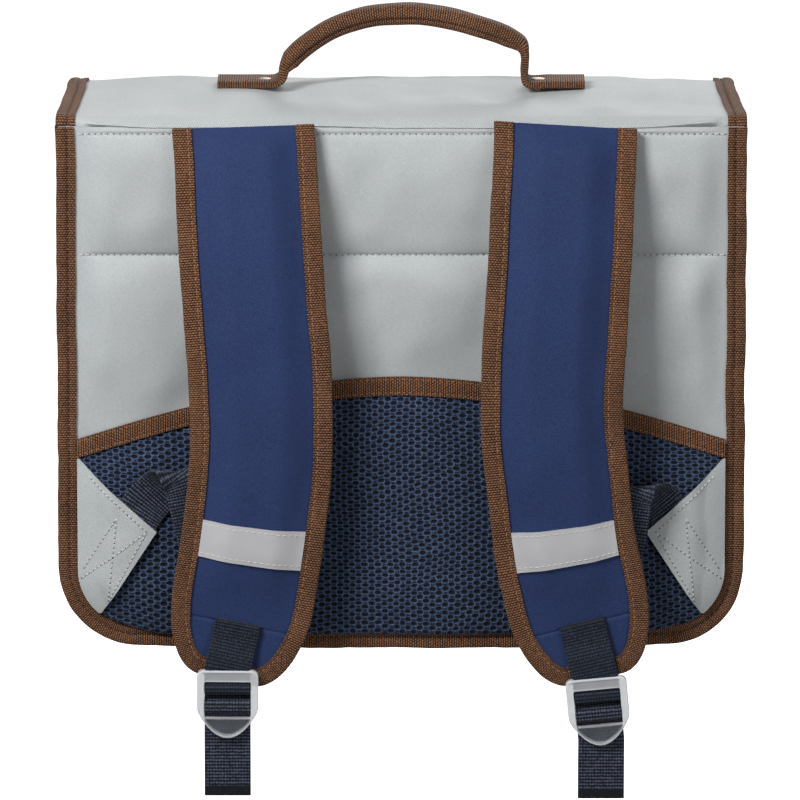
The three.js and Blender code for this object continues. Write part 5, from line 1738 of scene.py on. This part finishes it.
section_y, section_n = rounded(3.4)
foot_y, foot_n = rounded(8.0)
on_flank = np.abs(section_n) < 0.93
crease_at = -0.3
crease = 1.7 * on_flank * np.exp(-(((section_n - crease_at) / 0.11) ** 2))
crease = crease + 1.3 * on_flank * smooth((crease_at - section_n) / 0.08)
roll = 0.5 * on_flank * np.sin(math.pi * np.clip((section_n - crease_at) / (1 - crease_at), 0, 1))
handle_girth = walk(np.stack([section_y * grip_width / 2, section_n * grip_thickness / 2], axis=-1))
thick = thick[:, None]
handle_y = (foot_y + (section_y - foot_y) * thick) * handle_half[:, None]
handle_y = handle_y + np.sign(section_y) * (roll - crease) * thick
ripple = 0.25 * unevenness(handle_along[:, None], handle_girth[None, :], 30, 81)
handle_n = (foot_n + (section_n - foot_n) * thick) * (handle_deep[:, None] + ripple * thick)
handle_rings = (
    handle_line[:, None] + handle_across[:, None] * handle_y[..., None]
    + handle_normal[:, None] * handle_n[..., None]
)
handle_lay = np.stack(np.broadcast_arrays(
    handle_girth[None, :], handle_along[:, None]
), axis=-1).reshape(-1, 2)
handle_lay = np.concatenate([handle_lay, np.zeros((2, 2))])
add_piece("handle_web", rod(handle_rings), handle_lay, brown_tape, ["handle"], crease=60)

# Rivets: domed copper-coloured heads on the feet of the handle, with a washer inside the flap.
metal = Finish("satin metal")
scuff = metal.noise(2.0, 3.0)
satin_metal = metal.close(
    metal.blend(scuff, colour(150, 134, 118), colour(198, 184, 168)), scuff * 0.2 + 0.42, scuff,
    0.02, {"Metallic": 0.9},
)
rivet_over = foot_middle + foot_thickness / 2 + gap - rivet_sink
rivet_under = flap_peak[2] - cloth_wall - 2 * gap
rivet_shank = 2.0
bulge = np.linspace(0, math.pi / 2, 7)
rivet_r = np.concatenate([
    [0.2, rivet_head * 0.4, rivet_head * 0.4, rivet_shank, rivet_shank],
    rivet_head / 2 * np.cos(bulge[:-1]), [0.2],
])
rivet_z = np.concatenate([
    [rivet_under - tape_wall, rivet_under - tape_wall, rivet_under, rivet_under, rivet_over],
    rivet_over + rivet_dome * np.sin(bulge[:-1]), [rivet_over + rivet_dome],
])
round_turn = np.arange(28) * 2 * math.pi / 28
for name, side in (("left", -1), ("right", 1)):
    middle_x = side * handle_span / 2 * rivet_share
    rings = np.stack([
        middle_x + rivet_r[:, None] * np.cos(round_turn),
        flap_peak[1] - rivet_forward + rivet_r[:, None] * np.sin(round_turn),
        np.broadcast_to(rivet_z[:, None], (len(rivet_z), len(round_turn))),
    ], axis=-1)
    shape = rod(rings)
    add_piece(f"rivet_{name}_head", shape, np.zeros((len(shape[0]), 2)), satin_metal,
              [f"rivet_{name}"], crease=50)

# Closures: a plain metal plate over the flap's lower edge, with its foot on the front panel.
clasp_spread = 105.0
clasp_width = 28.0
clasp_length = 52.0
clasp_thickness = 6.0
clasp_foot = 16.0
clasp_face = flap_front_y + seat + gap
clasp_panel = -back_y + front_crown + gap
clasp_top = flap_bottom + clasp_length - clasp_foot
clasp_low = flap_bottom - clasp_foot
clasp_ledge = flap_bottom - gap - seat
clasp_profile = np.array([
    (clasp_face, clasp_ledge), (clasp_face, clasp_top), (clasp_face + clasp_thickness, clasp_top),
    (clasp_face + clasp_thickness, clasp_low), (clasp_panel, clasp_low), (clasp_panel, clasp_ledge),
])
for name, side in (("left", -1), ("right", 1)):
    x = side * clasp_spread + clasp_width * np.array([-0.5, 0.5])
    rings = np.stack([
        np.broadcast_to(x[:, None], (2, 6)), np.broadcast_to(clasp_profile[:, 0], (2, 6)),
        np.broadcast_to(clasp_profile[:, 1], (2, 6)),
    ], axis=-1)
    count = rings.shape[1]
    side_faces = rod(rings)[1][0]
    points = rings.reshape(-1, 3)
    caps = np.array([list(range(count))[::-1], list(range(count, 2 * count))])
    piece = add_piece(f"clasp_{name}_plate", (points, [side_faces, caps]), np.zeros((len(points), 2)),
                      satin_metal, [f"clasp_{name}"], crease=30)
    soften = piece.modifiers.new("soft edges", "BEVEL")
    soften.width = 0.0012
    soften.segments = 3

boxes = {"cad": cad_box, "visual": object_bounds()}
{key: [list(corner) for corner in box] for key, box in boxes.items()}
